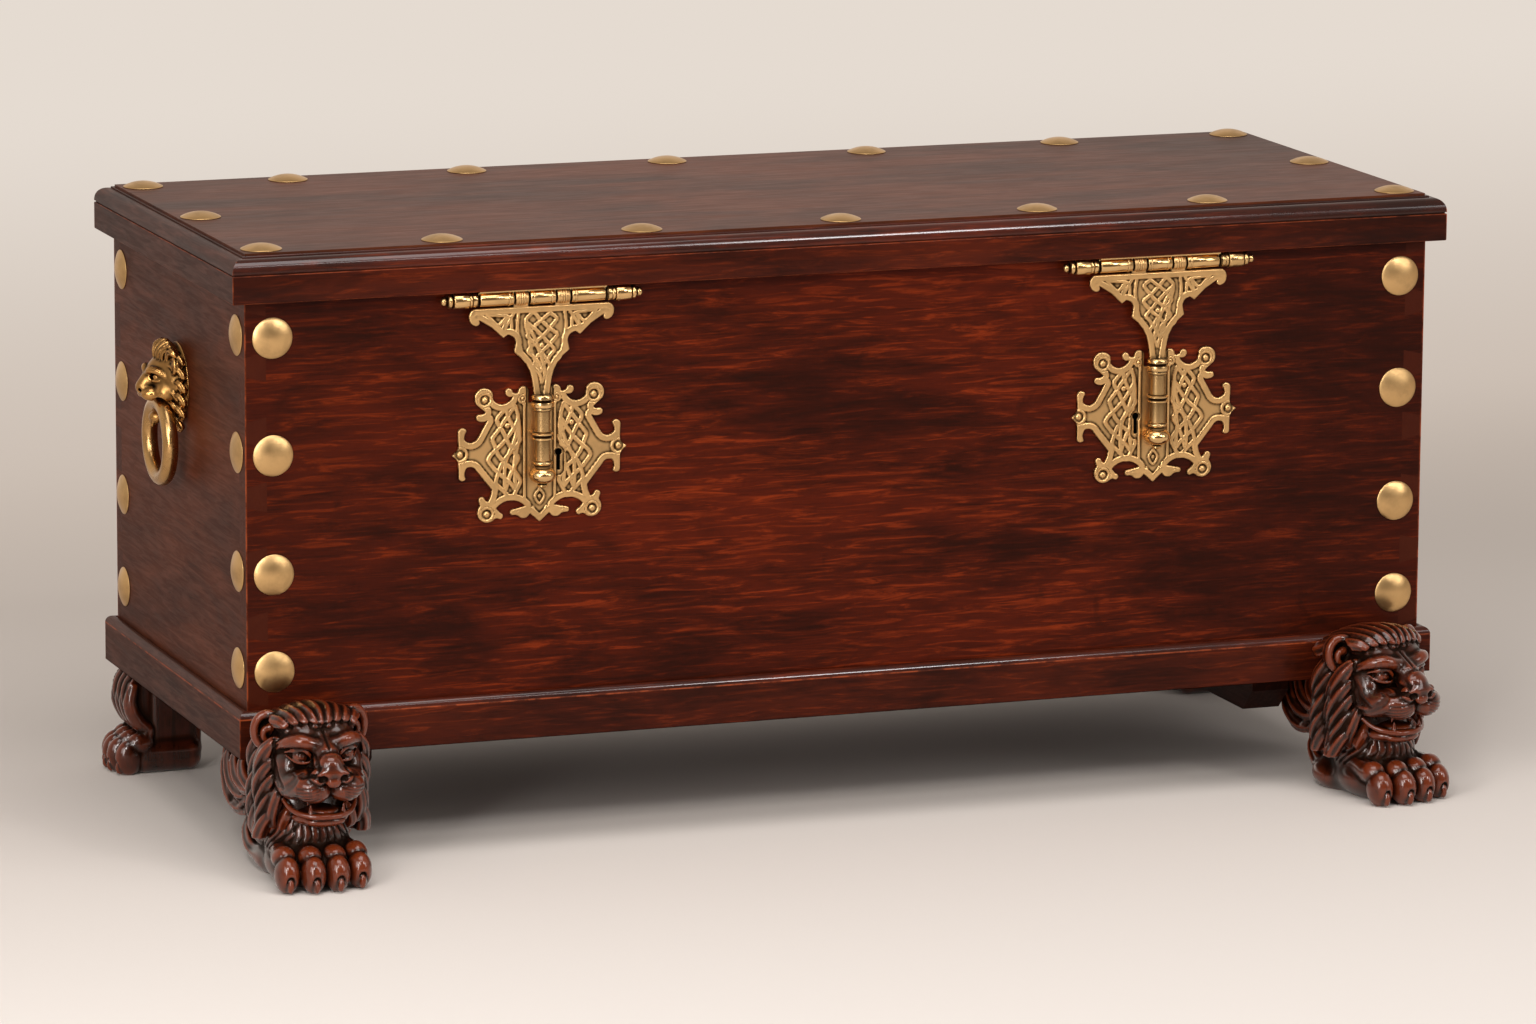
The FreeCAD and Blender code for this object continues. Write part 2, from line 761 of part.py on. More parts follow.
def lock_case():
    """The open pan behind the plate, with two guides for the bolt."""
    wall = lock_wall
    back = -half_depth + board - lock_setback
    hollow = box(-lock_left + wall, lock_right - wall, -half_depth - overrun, back - wall,
                 case_top - lock_low_drop + wall, case_top - lock_high_drop - wall)
    pan = lock_room(0).cut(hollow)
    middle = -half_depth + staple_reach - staple_end - eye_depth / 2
    half = lock_bolt_height / 2 + free_gap
    way = box(-lock_left, lock_right, middle - lock_bolt_thickness / 2 - free_gap,
              middle + lock_bolt_thickness / 2 + free_gap, staple_z - half, staple_z + half)
    guides = []
    for x in (lock_bolt_withdrawn + 2 * guide_width, lock_right - wall - guide_width - free_gap):
        guide = box(x - guide_width / 2, x + guide_width / 2, -half_depth + free_gap, back - wall,
                    staple_z - guide_height / 2, staple_z + guide_height / 2)
        guides.append(guide.cut(way))
    return pan.fuse(guides).removeSplitter()


def at_left(shape):
    """Move a hasp piece from the middle to its place left of centre."""
    placed = shape.copy()
    placed.translate(V(-hasp_offset, 0, 0))
    return placed


# Ring handles, modelled on the left end


def ring_hoop(grow):
    """The ring, hanging in its upright plane, with its wire grown by a clearance."""
    x = -half_length - ring_out
    hub = ring_z - ring_radius
    wire = ring_wire + grow
    rings = []
    for station in range(ring_steps):
        turn = 2 * math.pi * station / ring_steps
        spoke = V(0, math.sin(turn), math.cos(turn))
        section = []
        for step in range(ring_sides):
            angle = 2 * math.pi * (step + 0.5) / ring_sides
            section.append(V(x, 0, hub) + spoke * (ring_radius + wire * math.cos(angle))
                           + V(wire * math.sin(angle), 0, 0))
        rings.append(section)
    faces = []
    for near, far in zip(rings, rings[1:] + rings[:1]):
        for i, corner in enumerate(near):
            j = (i + 1) % ring_sides
            faces.append(flat([corner, near[j], far[j], far[i]]))
    return solid_of(faces)


def ring_way():
    """The bell-mouthed way through the mouth, as deep each side of its middle as the ring bends.

    It is a fan of upright sections from the hanging ring outwards, about the line the ring turns on.
    """
    x = -half_length - ring_out
    room = ring_wire + 2 * free_gap
    reach = ring_radius - room
    across = mask_socket_share * reach
    places = [share * across for share in mask_socket_step_shares]
    half = [(y, ring_radius - math.sqrt(reach ** 2 - y ** 2)) for y in places]
    drops = [(-y, drop) for y, drop in half] + [(0, room)] + list(reversed(half))
    leaves = []
    for step in range(ring_sector_steps + 1):
        turn = math.radians(ring_sector_start_angle + ring_sector_angle * step / ring_sector_steps)
        down = V(-math.sin(turn), 0, -math.cos(turn))
        leaves.append([V(x, y, ring_z) + down * drop for y, drop in drops])
    start = V(x, -across, ring_z)
    end = V(x, across, ring_z)
    faces = [flat([start] + leaves[0] + [end]), flat([start] + leaves[-1] + [end])]
    for near, far in zip(leaves, leaves[1:]):
        faces += [flat([start, near[0], far[0]]), flat([end, near[-1], far[-1]])]
        for i in range(len(near) - 1):
            faces.append(flat([near[i], near[i + 1], far[i + 1], far[i]]))
    straight = turned([(0, room), (2 * across, room)], start, V(0, 1, 0), bore=True)
    return [straight, solid_of(faces)]


def handle_mask():
    """The lion mask that holds the ring in its mouth."""
    section_shares = [(0.0, 1.0, -1.0, 1.0), (0.14, 0.98, -0.98, 0.98), (0.22, 0.8, -0.9, 0.93),
                      (0.3, 0.56, -0.82, 0.84), (0.44, 0.47, -0.72, 0.76), (0.56, 0.42, -0.5, 0.66),
                      (0.68, 0.39, 0.02, 0.5), (0.84, 0.34, 0.04, 0.38), (1.0, 0.2, 0.1, 0.28)]
    rings = []
    for out, wide, low, high in section_shares:
        z0 = ring_z + low * (mask_below if low < 0 else mask_above)
        z1 = ring_z + high * mask_above
        middle = V(-half_length - out * mask_depth, 0, (z0 + z1) / 2)
        rings.append(oval(middle, V(0, 1, 0), V(0, 0, 1), wide * mask_half_width, (z1 - z0) / 2, soft_share))
    return skin(rings).cut(ring_way() + [ring_hoop(2 * free_gap), handle_bolt_piece(-1)])


def handle_bolt_piece(side_x):
    """The bolt that holds a mask from inside the case."""
    length = handle_bolt_depth + board + handle_nut_height + handle_bolt_end
    start = V(side_x * (half_length + handle_bolt_depth), 0, ring_z + handle_bolt_level)
    return turned([(0, handle_bolt), (length, handle_bolt)], start, V(-side_x, 0, 0))


def handle_nut(side_x):
    """A square nut against the inside of an end board."""
    inner = side_x * (half_length - board)
    end = inner - side_x * handle_nut_height
    z = ring_z + handle_bolt_level
    nut = box(min(inner, end), max(inner, end), -handle_nut_width, handle_nut_width, z - handle_nut_width,
              z + handle_nut_width)
    return nut.cut(handle_bolt_piece(side_x))


# Feet


def toe(root, along, across, length, half_width, height):
    """One toe from its root to its tip, with a knuckle and a rounded end on a flat sole."""
    station_shares = [(0.0, 0.7, 0.85), (0.35, 0.96, 1.0), (0.82, 0.95, 0.7), (1.0, 0.5, 0.35)]
    rings = [arch(root + along * (out * length), across, wide * half_width, high * height, full_share)
             for out, wide, high in station_shares]
    return skin(rings)


def paw(heel, along, length, half_width, height):
    """The back of a paw up to the roots of its toes, on a flat sole."""
    across = V(along.y, -along.x, 0)
    station_shares = [(0.0, 0.75, 0.66), (0.15, 0.95, 0.97), (0.7, 1.0, 0.95), (1.0, 0.94, 0.7)]
    rings = [arch(heel + along * (out * length), across, wide * half_width, high * height, full_share)
             for out, wide, high in station_shares]
    return skin(rings)


def toes(tip, along, half_width, length, height):
    """Four toes side by side, the middle two a little further out."""
    across = V(along.y, -along.x, 0)
    half = half_width / 4
    pieces = []
    for index in range(4):
        place = (index - 1.5) * 2 * half
        back = 0 if index in (1, 2) else length / 6
        root = tip - along * (length + back) + across * place
        pieces.append(toe(root, along, across, length, half, height))
    return pieces


def lion_head(x):
    """The head in front of the base moulding, from the mane to the nose."""
    length = toe_reach - head_back
    middle_z = (head_low + head_high) / 2
    half_height = (head_high - head_low) / 2
    station_shares = [(-0.05, 0.86, -0.84, 0.88), (0.16, 1.0, -1.0, 1.0), (0.38, 0.97, -1.0, 0.95),
                      (0.52, 0.82, -1.0, 0.8), (0.7, 0.72, -1.0, 0.46), (0.78, 0.64, -1.0, 0.24),
                      (0.94, 0.48, -0.94, 0.04), (1.0, 0.3, -0.66, -0.08)]
    rings = []
    for out, wide, low, high in station_shares:
        z0 = middle_z + low * half_height
        z1 = middle_z + high * half_height
        middle = V(x, -head_back - out * length, (z0 + z1) / 2)
        rings.append(oval(middle, V(1, 0, 0), V(0, 0, 1), wide * head_half_width, (z1 - z0) / 2, full_share))
    return skin(rings)


def ear(x, side):
    """A round ear at the edge of the mane."""
    place = V(x + side * ear_offset, -head_back - ear_reach_share * (toe_reach - head_back), ear_level)
    return turned([(0, ear_radius * full_share), (ear_thickness, ear_radius)], place, V(0, 1, 0))


def mouth_cut(x):
    """The open mouth, a wedge between the jaws."""
    front = -toe_reach - overrun
    outline = [V(x - mouth_half_width, front, mouth_low), V(x - mouth_half_width, front, mouth_high),
               V(x - mouth_half_width, -toe_reach + mouth_depth_share * (toe_reach - head_back), (mouth_low + mouth_high) / 2)]
    return flat(outline).extrude(V(2 * mouth_half_width, 0, 0))


def lion_leg(x):
    """The chest and leg between the paw and the case."""
    station_shares = [(0.15, 0.88, 0.56, 0.9), (0.45, 0.94, 0.56, 0.85), (0.75, 1.0, 0.53, 0.82),
                      (1.0, 1.0, 0.5, 0.72)]
    rings = []
    for up, wide, back, front in station_shares:
        y0 = -toe_reach * front
        y1 = -toe_reach * back
        middle = V(x, (y0 + y1) / 2, up * foot_height)
        rings.append(oval(middle, V(1, 0, 0), V(0, 1, 0), wide * leg_half_width, (y1 - y0) / 2, full_share))
    return skin(rings)


def lion_scroll(x):
    """The scrolled bracket behind the leg, under the case."""
    y = -scroll_reach
    z = foot_height - scroll_level
    roll = turned([(0, scroll_radius), (2 * scroll_half_width, scroll_radius)], V(x - scroll_half_width, y, z),
                  V(1, 0, 0))
    pad = box(x - scroll_half_width, x + scroll_half_width, -heel_reach - scroll_radius, y,
              foot_height - scroll_radius / 2, foot_height)
    return [roll, pad]


def front_foot():
    """The lion foot under the left front corner."""
    x = -half_length + front_foot_inset
    forward = V(0, -1, 0)
    heel = V(x, -heel_reach, 0)
    body = paw(heel, forward, toe_reach - heel_reach - toe_length / 2, paw_half_width, paw_height)
    pieces = toes(V(x, -toe_reach, 0), forward, paw_half_width, toe_length, toe_height)
    pieces += [lion_leg(x), lion_head(x), ear(x, -1), ear(x, 1)] + lion_scroll(x)
    foot = body.fuse(pieces).cut(mouth_cut(x))
    above = box(x - 2 * head_half_width, x + 2 * head_half_width, -half_depth - plinth_reach, 0, foot_height,
                2 * foot_height)
    return foot.cut(above)


def rear_foot():
    """The paw foot under the left rear corner, with its toes turned outwards."""
    y = rear_reach - rear_paw_half_width
    outward = V(-1, 0, 0)
    length = rear_toe_tip - rear_heel
    body = paw(V(-rear_heel, y, 0), outward, length - rear_toe_length / 2, rear_paw_half_width, rear_paw_height)
    pieces = toes(V(-rear_toe_tip, y, 0), outward, rear_paw_half_width, rear_toe_length, rear_toe_height)
    low = rear_paw_height / 2
    knee = -half_length - plinth_reach + rear_scroll_radius
    block = box(knee, -rear_heel, y - rear_leg_half_width, half_depth + plinth_reach / 2, low, foot_height)
    roll = turned([(0, rear_scroll_radius), (2 * rear_leg_half_width, rear_scroll_radius)],
                  V(knee, y - rear_leg_half_width, foot_height - rear_scroll_radius), V(0, 1, 0))
    return body.fuse(pieces + [block, roll]).removeSplitter()


# The whole chest


def build_case():
    """The boards, the base moulding, the bearers and the studs."""
    front = long_board(-1)
    locks = [at_left(lock_room(free_gap))]
    front = front.cut(pockets(front_stud_places(), V(0, -1, 0)) + locks + [mirrored(lock) for lock in locks])
    save("front_board", front)
    save("back_board", long_board(1).cut([hinge_gain(-hinge_offset), hinge_gain(hinge_offset)]))
    for name, side_x in (("left", -1), ("right", 1)):
        end = end_board(side_x).cut(pockets(end_stud_places(side_x), V(side_x, 0, 0)))
        save(name + "_end_board", end)
        save("studs_" + name + "_end", studs(end_stud_places(side_x), V(side_x, 0, 0)))
        save("bearer_" + name, bearer(side_x))
    save("bottom_board", bottom_board())
    save("studs_front", studs(front_stud_places(), V(0, -1, 0)))
    for side in ("front", "back", "left", "right"):
        save("plinth_" + side, plinth_strip(side))


def build_lid():
    """The lid with its frame, moulding, studs and hinges."""
    save("lid_board", lid_board())
    for side in ("front", "back", "left", "right"):
        save("lid_rim_" + side, rim_strip(side))
        save("lid_moulding_" + side, moulding_strip(side))
    save("studs_lid", studs(lid_stud_places(), V(0, 0, 1)))
    for name, x in (("left", -hinge_offset), ("right", hinge_offset)):
        save("hinge_case_leaf_" + name, hinge_case_leaf(x))
        save("hinge_lid_leaf_" + name, hinge_lid_leaf(x))
    save("hinge_pins", Part.makeCompound([hinge_pin_piece(-hinge_offset), hinge_pin_piece(hinge_offset)]))


def build_pairs():
    """What comes in a left and a right piece: hasps, locks, handles and feet."""
    strap = hasp_strap()
    staple = hasp_staple()
    pieces = {"hasp_leaf": hasp_fixed_leaf(), "hasp_pin": hasp_pin_piece(), "hasp_strap": strap,
              "hasp_staple": staple, "hasp_bar": hasp_bar(strap, staple), "lock_plate": lock_plate(),
              "lock_case": lock_case(), "lock_bolt": lock_bolt()}
    placed = {name: at_left(shape) for name, shape in pieces.items()}
    placed.update({"handle_mask": handle_mask(), "handle_ring": ring_hoop(0), "foot_front": front_foot(),
                   "foot_rear": rear_foot()})
    for name, shape in placed.items():
        save(name + "_left", shape)
        save(name + "_right", mirrored(shape))
    save("handle_bolts", Part.makeCompound([handle_bolt_piece(-1), handle_bolt_piece(1)]))
    save("handle_nuts", Part.makeCompound([handle_nut(-1), handle_nut(1)]))


build_case()
build_lid()
build_pairs()
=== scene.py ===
"""The dressed chest: waxed dark wood, carved lion feet, satin brass studs, hasps and ring handles.

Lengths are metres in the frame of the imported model. Sizes given in millimetres go through MM.
"""
import math

import bmesh
import bpy
import numpy as np
from mathutils import Matrix


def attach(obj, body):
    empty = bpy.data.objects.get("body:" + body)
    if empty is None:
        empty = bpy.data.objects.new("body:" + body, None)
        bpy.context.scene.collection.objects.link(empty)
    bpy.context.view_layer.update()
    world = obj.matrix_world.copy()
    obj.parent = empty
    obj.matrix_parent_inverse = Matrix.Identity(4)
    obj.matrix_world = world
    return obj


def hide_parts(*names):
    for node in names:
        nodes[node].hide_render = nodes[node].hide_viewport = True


MM = 0.001

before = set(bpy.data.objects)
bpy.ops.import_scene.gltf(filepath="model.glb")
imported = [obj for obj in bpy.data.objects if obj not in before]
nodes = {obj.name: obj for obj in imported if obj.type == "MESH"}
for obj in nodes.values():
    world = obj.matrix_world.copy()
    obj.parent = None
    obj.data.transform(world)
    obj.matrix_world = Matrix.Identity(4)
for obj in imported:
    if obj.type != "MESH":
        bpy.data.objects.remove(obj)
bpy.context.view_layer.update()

# Places repeated from the model, in millimetres
middle_y = 50
case_half_length = 585
case_half_depth = 220
case_front = middle_y - case_half_depth
case_low = 105
plinth_half_length = 595
plinth_half_depth = 230
plinth_shoulder = 142
rim_half_length = 600
rim_half_depth = 235
rim_low = 525
rim_top = 551
roll_top = 567
lid_top = 569


# Mesh building


def smooth_normals(mesh, angle):
    """Shade a mesh smooth, except where faces meet at more than an angle."""
    mesh.shade_smooth()
    mesh.set_sharp_from_angle(angle=angle)


def piece(name, points, faces, body, node=None, sharp=math.radians(40), values=None):
    """Put arrays of points and faces into a new object that rides on a body.

    Points are rows of x, y and z in metres; faces are rows of corner numbers, or a list of such
    tables. Values, one for each point, are kept as the attribute "hollow".
    """
    tables = faces if isinstance(faces, list) else [faces]
    mesh = bpy.data.meshes.new(name)
    counts = np.concatenate([np.full(len(table), table.shape[1]) for table in tables])
    corners = np.concatenate([table.ravel() for table in tables])
    mesh.vertices.add(len(points))
    mesh.vertices.foreach_set("co", np.asarray(points, dtype=np.float32).ravel())
    mesh.loops.add(len(corners))
    mesh.loops.foreach_set("vertex_index", corners.astype(np.int32))
    mesh.polygons.add(len(counts))
    starts = np.concatenate([[0], np.cumsum(counts)[:-1]])
    mesh.polygons.foreach_set("loop_start", starts.astype(np.int32))
    mesh.update(calc_edges=True)
    mesh.validate()
    if values is not None:
        mesh.attributes.new("hollow", "FLOAT", "POINT").data.foreach_set("value", values.astype(np.float32))
    smooth_normals(mesh, sharp)
    made = bpy.data.objects.new(name, mesh)
    bpy.context.scene.collection.objects.link(made)
    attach(made, body)
    if node:
        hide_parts(*([node] if isinstance(node, str) else node))
    return made


def dress(target, material):
    """Give a piece, or a node of the model by its name, one material."""
    made = nodes[target] if isinstance(target, str) else target
    if len(made.material_slots) == 0:
        made.data.materials.append(material)
    for place in made.material_slots:
        place.material = material


def grid_faces(rows, columns):
    """Four-cornered faces over a grid of points, row after row, each row closed round."""
    row, column = np.meshgrid(np.arange(rows - 1), np.arange(columns), indexing="ij")
    following = (column + 1) % columns
    corners = [row * columns + column, row * columns + following, (row + 1) * columns + following,
               (row + 1) * columns + column]
    return np.stack(corners, axis=-1).reshape(-1, 4)


# Nodes of the materials


class Nodes:
    """A tree whose nodes are added one by one, with short names for the common ones."""

    def __init__(self, tree):
        self.tree = tree

    def node(self, kind, **settings):
        """A new node with its settings."""
        made = self.tree.nodes.new(kind)
        for key, value in settings.items():
            setattr(made, key, value)
        return made

    def feed(self, node, **inputs):
        """Set or link a node's inputs, each given by its name, or by an i and its number."""
        for key, value in inputs.items():
            numbered = key[0] == "i" and key[1:].isdigit()
            socket = node.inputs[int(key[1:]) if numbered else key.replace("_", " ")]
            if isinstance(value, bpy.types.NodeSocket):
                self.tree.links.new(value, socket)
            elif isinstance(value, tuple) and len(value) < len(socket.default_value):
                socket.default_value = value + (1.0,)
            else:
                socket.default_value = value
        return node

    def sum(self, kind, first, second=0.0, third=0.0, clamp=False):
        """One step of arithmetic."""
        made = self.feed(self.node("ShaderNodeMath", operation=kind, use_clamp=clamp), i0=first, i1=second)
        if kind == "MULTIPLY_ADD":
            self.feed(made, i2=third)
        return made.outputs[0]

    def ramp(self, value, low, high, start=0.0, end=1.0, smooth=True):
        """A value that goes from start to end as the given one goes from low to high."""
        made = self.node("ShaderNodeMapRange", interpolation_type="SMOOTHSTEP" if smooth else "LINEAR")
        return self.feed(made, i0=value, i1=low, i2=high, i3=start, i4=end).outputs[0]

    def mix(self, share, first, second):
        """A blend of two colours."""
        return self.feed(self.node("ShaderNodeMix", data_type="RGBA"), i0=share, i6=first, i7=second).outputs[2]

    def blend(self, share, first, second):
        """A blend of two shaders."""
        return self.feed(self.node("ShaderNodeMixShader"), i0=share, i1=first, i2=second).outputs[0]

    def seeing(self):
        """One for the rays that see the backdrop, straight on, in metal or through glass, and nought for light."""
        paths = self.node("ShaderNodeLightPath").outputs
        seen = self.sum("ADD", paths["Is Camera Ray"], paths["Is Glossy Ray"])
        return self.sum("ADD", seen, paths["Is Transmission Ray"], clamp=True)


class Finish(Nodes):
    """A material that reads the object's own place, and the attribute "hollow" where a piece has one."""

    def __init__(self, name):
        self.material = bpy.data.materials.new(name)
        self.material.use_nodes = True
        super().__init__(self.material.node_tree)
        self.shader = self.tree.nodes["Principled BSDF"]
        self.place = self.node("ShaderNodeTexCoord").outputs["Object"]

    def stretched(self, scale, offset=(0, 0, 0)):
        """The object's own place, moved and stretched."""
        return self.feed(self.node("ShaderNodeMapping"), Vector=self.place, Location=offset, Scale=scale).outputs[0]

    def noise(self, place, scale, detail=4.0, roughness=0.55, distortion=0.0):
        """A cloudy value from 0 to 1 about a half."""
        return self.feed(self.node("ShaderNodeTexNoise"), Vector=place, Scale=scale, Detail=detail,
                         Roughness=roughness, Distortion=distortion).outputs[0]

    def axes(self):
        """The three parts of the object's own place."""
        return self.feed(self.node("ShaderNodeSeparateXYZ"), Vector=self.place).outputs

    def hollow(self):
        """How deep in a hollow the place is."""
        return self.node("ShaderNodeAttribute", attribute_name="hollow").outputs["Fac"]

    def bump(self, height, strength, distance):
        """Link a height to the surface."""
        made = self.feed(self.node("ShaderNodeBump"), Height=height, Strength=strength, Distance=distance)
        self.feed(self.shader, Normal=made.outputs[0])

    def finish(self, **inputs):
        """Link or set the shader's inputs and hand the material over."""
        self.feed(self.shader, **inputs)
        return self.material


def lit(red, green, blue):
    """A colour as the eye reads it, from 0 to 255, turned to the light it stands for."""
    shares = np.array([red, green, blue]) / 255
    return tuple(float(v) for v in np.where(shares <= 0.04045, shares / 12.92, ((shares + 0.055) / 1.055) ** 2.4))


def edge_wear(made, parts, edges, width, speckle):
    """A patchy value along edges, each given as two planes (axis, place) that meet there."""
    total = None
    for edge in edges:
        near = None
        for axis, place in edge:
            apart = made.sum("ABSOLUTE", made.sum("SUBTRACT", parts[axis], place))
            close = made.ramp(apart, 0.0, width, 1.0, 0.0)
            near = close if near is None else made.sum("MULTIPLY", near, close)
        total = near if total is None else made.sum("MAXIMUM", total, near)
    return made.sum("MULTIPLY", total, speckle)


def waxed_wood(name, grain, dark, mid, warm, worn=(), seed=0.0, figure=1.0, wax=0.25, wax_rough=0.3, width=1.8,
               shows=(), rolls=(), polish=1.0):
    """Dark stained wood: fine streaks along the grain, darker clouds, warm lights, short dark pores and worn edges.

    The grain is 0, 1 or 2 for the axis it runs along, and the colour darkens towards the board's ends. Worn is a
    list of edges, each two (axis, place) planes, and width is how far the wear reaches, in millimetres. Shows is a
    list of (axis, place, tone) planes on which the wood is toned like its neighbour's, and rolls a list of
    (low, high) levels between which a rounded moulding is polished.
    """
    made = Finish(name)
    edge_tone = (150, 68, 34)

    def along(share):
        """The object's place, drawn out along the grain."""
        scale = [1.0, 1.0, 1.0]
        scale[grain] = share
        return made.stretched(tuple(scale), (seed, seed * 0.7, seed * 1.3))

    def darker(share):
        """The dark tone, dimmed."""
        return lit(*[v * share for v in dark])

    clouds = made.noise(along(0.42), 6.5, 4.0, 0.6, 0.5)
    bands = made.noise(along(0.2), 30.0, 5.0, 0.62, 1.2)
    streaks = made.noise(along(0.085), 200.0, 6.0, 0.64, 1.0)
    pores = made.noise(along(0.045), 520.0, 3.0, 0.6, 0.6)
    knots = made.noise(along(0.8), 19.0, 4.0, 0.62, 1.0)
    tone = made.sum("ADD", made.sum("MULTIPLY", clouds, 0.44), made.sum("MULTIPLY", bands, 0.34))
    tone = made.sum("MULTIPLY_ADD", streaks, 0.22, tone)
    colour = made.mix(made.ramp(tone, 0.37, 0.61), lit(*dark), lit(*mid))
    lights = made.sum("MULTIPLY", made.ramp(streaks, 0.48, 0.7), made.ramp(tone, 0.42, 0.6, 0.0, 0.62 * figure))
    colour = made.mix(lights, colour, lit(*warm))
    colour = made.mix(made.ramp(knots, 0.6, 0.76, 0.0, 0.45 * figure), colour, darker(0.7))
    colour = made.mix(made.ramp(pores, 0.58, 0.7, 0.0, 0.4), colour, darker(0.45))
    ends = made.ramp(made.sum("ABSOLUTE", made.axes()[grain]), 0.28, 0.62, 0.0, 0.45 * figure)
    colour = made.mix(ends, colour, darker(0.8))
    for axis, place, shade in shows:
        apart = made.sum("ABSOLUTE", made.sum("SUBTRACT", made.axes()[axis], place))
        colour = made.mix(made.ramp(apart, 0.2 * MM, 0.4 * MM, 0.85, 0.0), colour, lit(*shade))
    if worn:
        speckle = made.ramp(made.noise(made.stretched((1, 1, 1)), 55.0, 4.0, 0.7), 0.38, 0.6, 0.1, 0.8)
        colour = made.mix(edge_wear(made, made.axes(), worn, width * MM, speckle), colour, lit(*edge_tone))
    rough = made.ramp(streaks, 0.35, 0.65, 0.5, 0.4)
    relief = made.sum("SUBTRACT", made.sum("MULTIPLY", streaks, 0.6), made.ramp(pores, 0.56, 0.7, 0.0, 0.5))
    made.bump(relief, 0.12, 0.4 * MM)
    for low, high in rolls:
        level = made.axes()[2]
        inside = made.sum("MULTIPLY", made.ramp(level, low * MM, (low + 1.5) * MM),
                          made.ramp(level, high * MM, (high + 1) * MM, 1.0, 0.0))
        wax = made.sum("MAXIMUM", made.ramp(inside, 0.0, 1.0, 0.06, polish), wax)
    return made.finish(Base_Color=colour, Roughness=rough, Specular_IOR_Level=0.05, Coat_Weight=wax,
                       Coat_Roughness=wax_rough)


def carved_finish(name, dark, mid, rubbed):
    """Polished carved wood: red-brown, painted shade near black in the hollows, rubbed wear and a painted highlight on
    the high places, dark grain.
    """
    made = Finish(name)
    hollow = made.hollow()
    clouds = made.noise(made.stretched((1, 1, 1)), 26.0, 4.0, 0.6, 0.5)
    grain = made.noise(made.stretched((1, 0.3, 0.12)), 330.0, 4.0, 0.6, 0.8)
    streaks = made.noise(made.stretched((1, 0.5, 0.09)), 120.0, 4.0, 0.65, 1.2)
    tone = made.sum("ADD", made.sum("MULTIPLY", clouds, 0.45), made.sum("MULTIPLY", streaks, 0.55))
    colour = made.mix(made.ramp(tone, 0.4, 0.6), lit(*[v * 0.5 for v in mid]), lit(*mid))
    # Lighter on the high places: partly rubbed wear, partly painted highlight.
    colour = made.mix(made.ramp(hollow, -0.1, -0.7, 0.0, 0.75), colour, lit(*rubbed))
    colour = made.mix(made.ramp(grain, 0.56, 0.7, 0.0, 0.5), colour, lit(*[v * 0.35 for v in mid]))
    # Painted shade: near black in the hollows, where shade falls.
    colour = made.mix(made.ramp(hollow, 0.0, 0.38, 0.0, 0.97), colour, lit(*dark))
    made.bump(grain, 0.1, 0.4 * MM)
    return made.finish(Base_Color=colour, Roughness=made.ramp(hollow, -0.2, 0.5, 0.28, 0.6), IOR=1.5,
                       Specular_IOR_Level=0.14, Specular_Tint=(1.0, 0.5, 0.3),
                       Coat_Weight=made.ramp(hollow, -0.1, 0.2, 1.0, 0.03), Coat_Roughness=0.16)


def satin_brass(name, tone, recess, gloss, aged=0.5):
    """Aged brass: soft satin with browner clouds, and a dark hollow where one is marked."""
    made = Finish(name)
    clouds = made.noise(made.stretched((1, 1, 1)), 38.0, 4.0, 0.6)
    fine = made.noise(made.stretched((1, 1, 1)), 900.0, 2.0, 0.5)
    colour = made.mix(made.ramp(clouds, 0.4, 0.7, 0.0, aged), lit(*tone), lit(*[v * 0.78 for v in tone]))
    hollow = made.hollow()
    colour = made.mix(made.ramp(hollow, 0.1, 0.9), colour, lit(*recess))
    rough = made.ramp(clouds, 0.3, 0.7, gloss - 0.04, gloss + 0.1)
    rough = made.sum("ADD", rough, made.sum("MULTIPLY", hollow, 0.25))
    made.bump(fine, 0.15, 0.2 * MM)
    return made.finish(Base_Color=colour, Roughness=rough, Metallic=1.0)


def plain_iron(name):
    """Dark iron with a little rust."""
    made = Finish(name)
    clouds = made.noise(made.stretched((1, 1, 1)), 120.0, 4.0, 0.6)
    colour = made.mix(made.ramp(clouds, 0.45, 0.7), lit(74, 70, 68), lit(96, 66, 48))
    made.bump(clouds, 0.2, 0.4 * MM)
    return made.finish(Base_Color=colour, Roughness=made.ramp(clouds, 0.3, 0.7, 0.35, 0.6), Metallic=0.9)


def box_edges(half_length, half_depth, *levels):
    """The edges of a box, each as two (axis, place) planes: its uprights, and its level edges at given heights."""
    ends = (-half_length * MM, half_length * MM)
    sides = ((middle_y - half_depth) * MM, (middle_y + half_depth) * MM)
    edges = [((0, x), (1, y)) for x in ends for y in sides]
    for level in levels:
        edges += [((1, y), (2, level * MM)) for y in sides] + [((0, x), (2, level * MM)) for x in ends]
    return edges


case_edges = box_edges(case_half_length, case_half_depth)
strip_edges = box_edges(rim_half_length, rim_half_depth, rim_low, rim_top)
strip_edges += box_edges(plinth_half_length, plinth_half_depth, case_low, plinth_shoulder)
roll_levels = [(plinth_shoulder - 0.5, plinth_shoulder + 7), (rim_top + 0.5, roll_top)]
tail_ends = [(0, sign * case_half_length * MM, (66, 28, 14)) for sign in (1, -1)]
pin_ends = [(1, (middle_y + sign * case_half_depth) * MM, (56, 17, 6)) for sign in (-1, 1)]
front_wood = waxed_wood("waxed wood front", 0, (34, 8, 2), (74, 20, 5), (132, 46, 13), case_edges, wax=0.05,
                        shows=tail_ends)
end_wood = waxed_wood("waxed wood ends", 1, (56, 22, 9), (84, 38, 18), (104, 50, 27), case_edges, seed=3.1,
                      figure=0.4, wax=0.05, wax_rough=0.4, shows=pin_ends)
lid_wood = waxed_wood("waxed wood lid", 0, (58, 24, 8), (90, 40, 16), (116, 58, 26), seed=5.7, figure=0.5,
                      wax=0.22, wax_rough=0.38)
long_strip_wood = waxed_wood("waxed wood long strips", 0, (34, 9, 3), (68, 21, 7), (124, 46, 17), strip_edges,
                             seed=8.2, figure=0.7, wax=0.08, wax_rough=0.12, width=1.2, rolls=roll_levels)
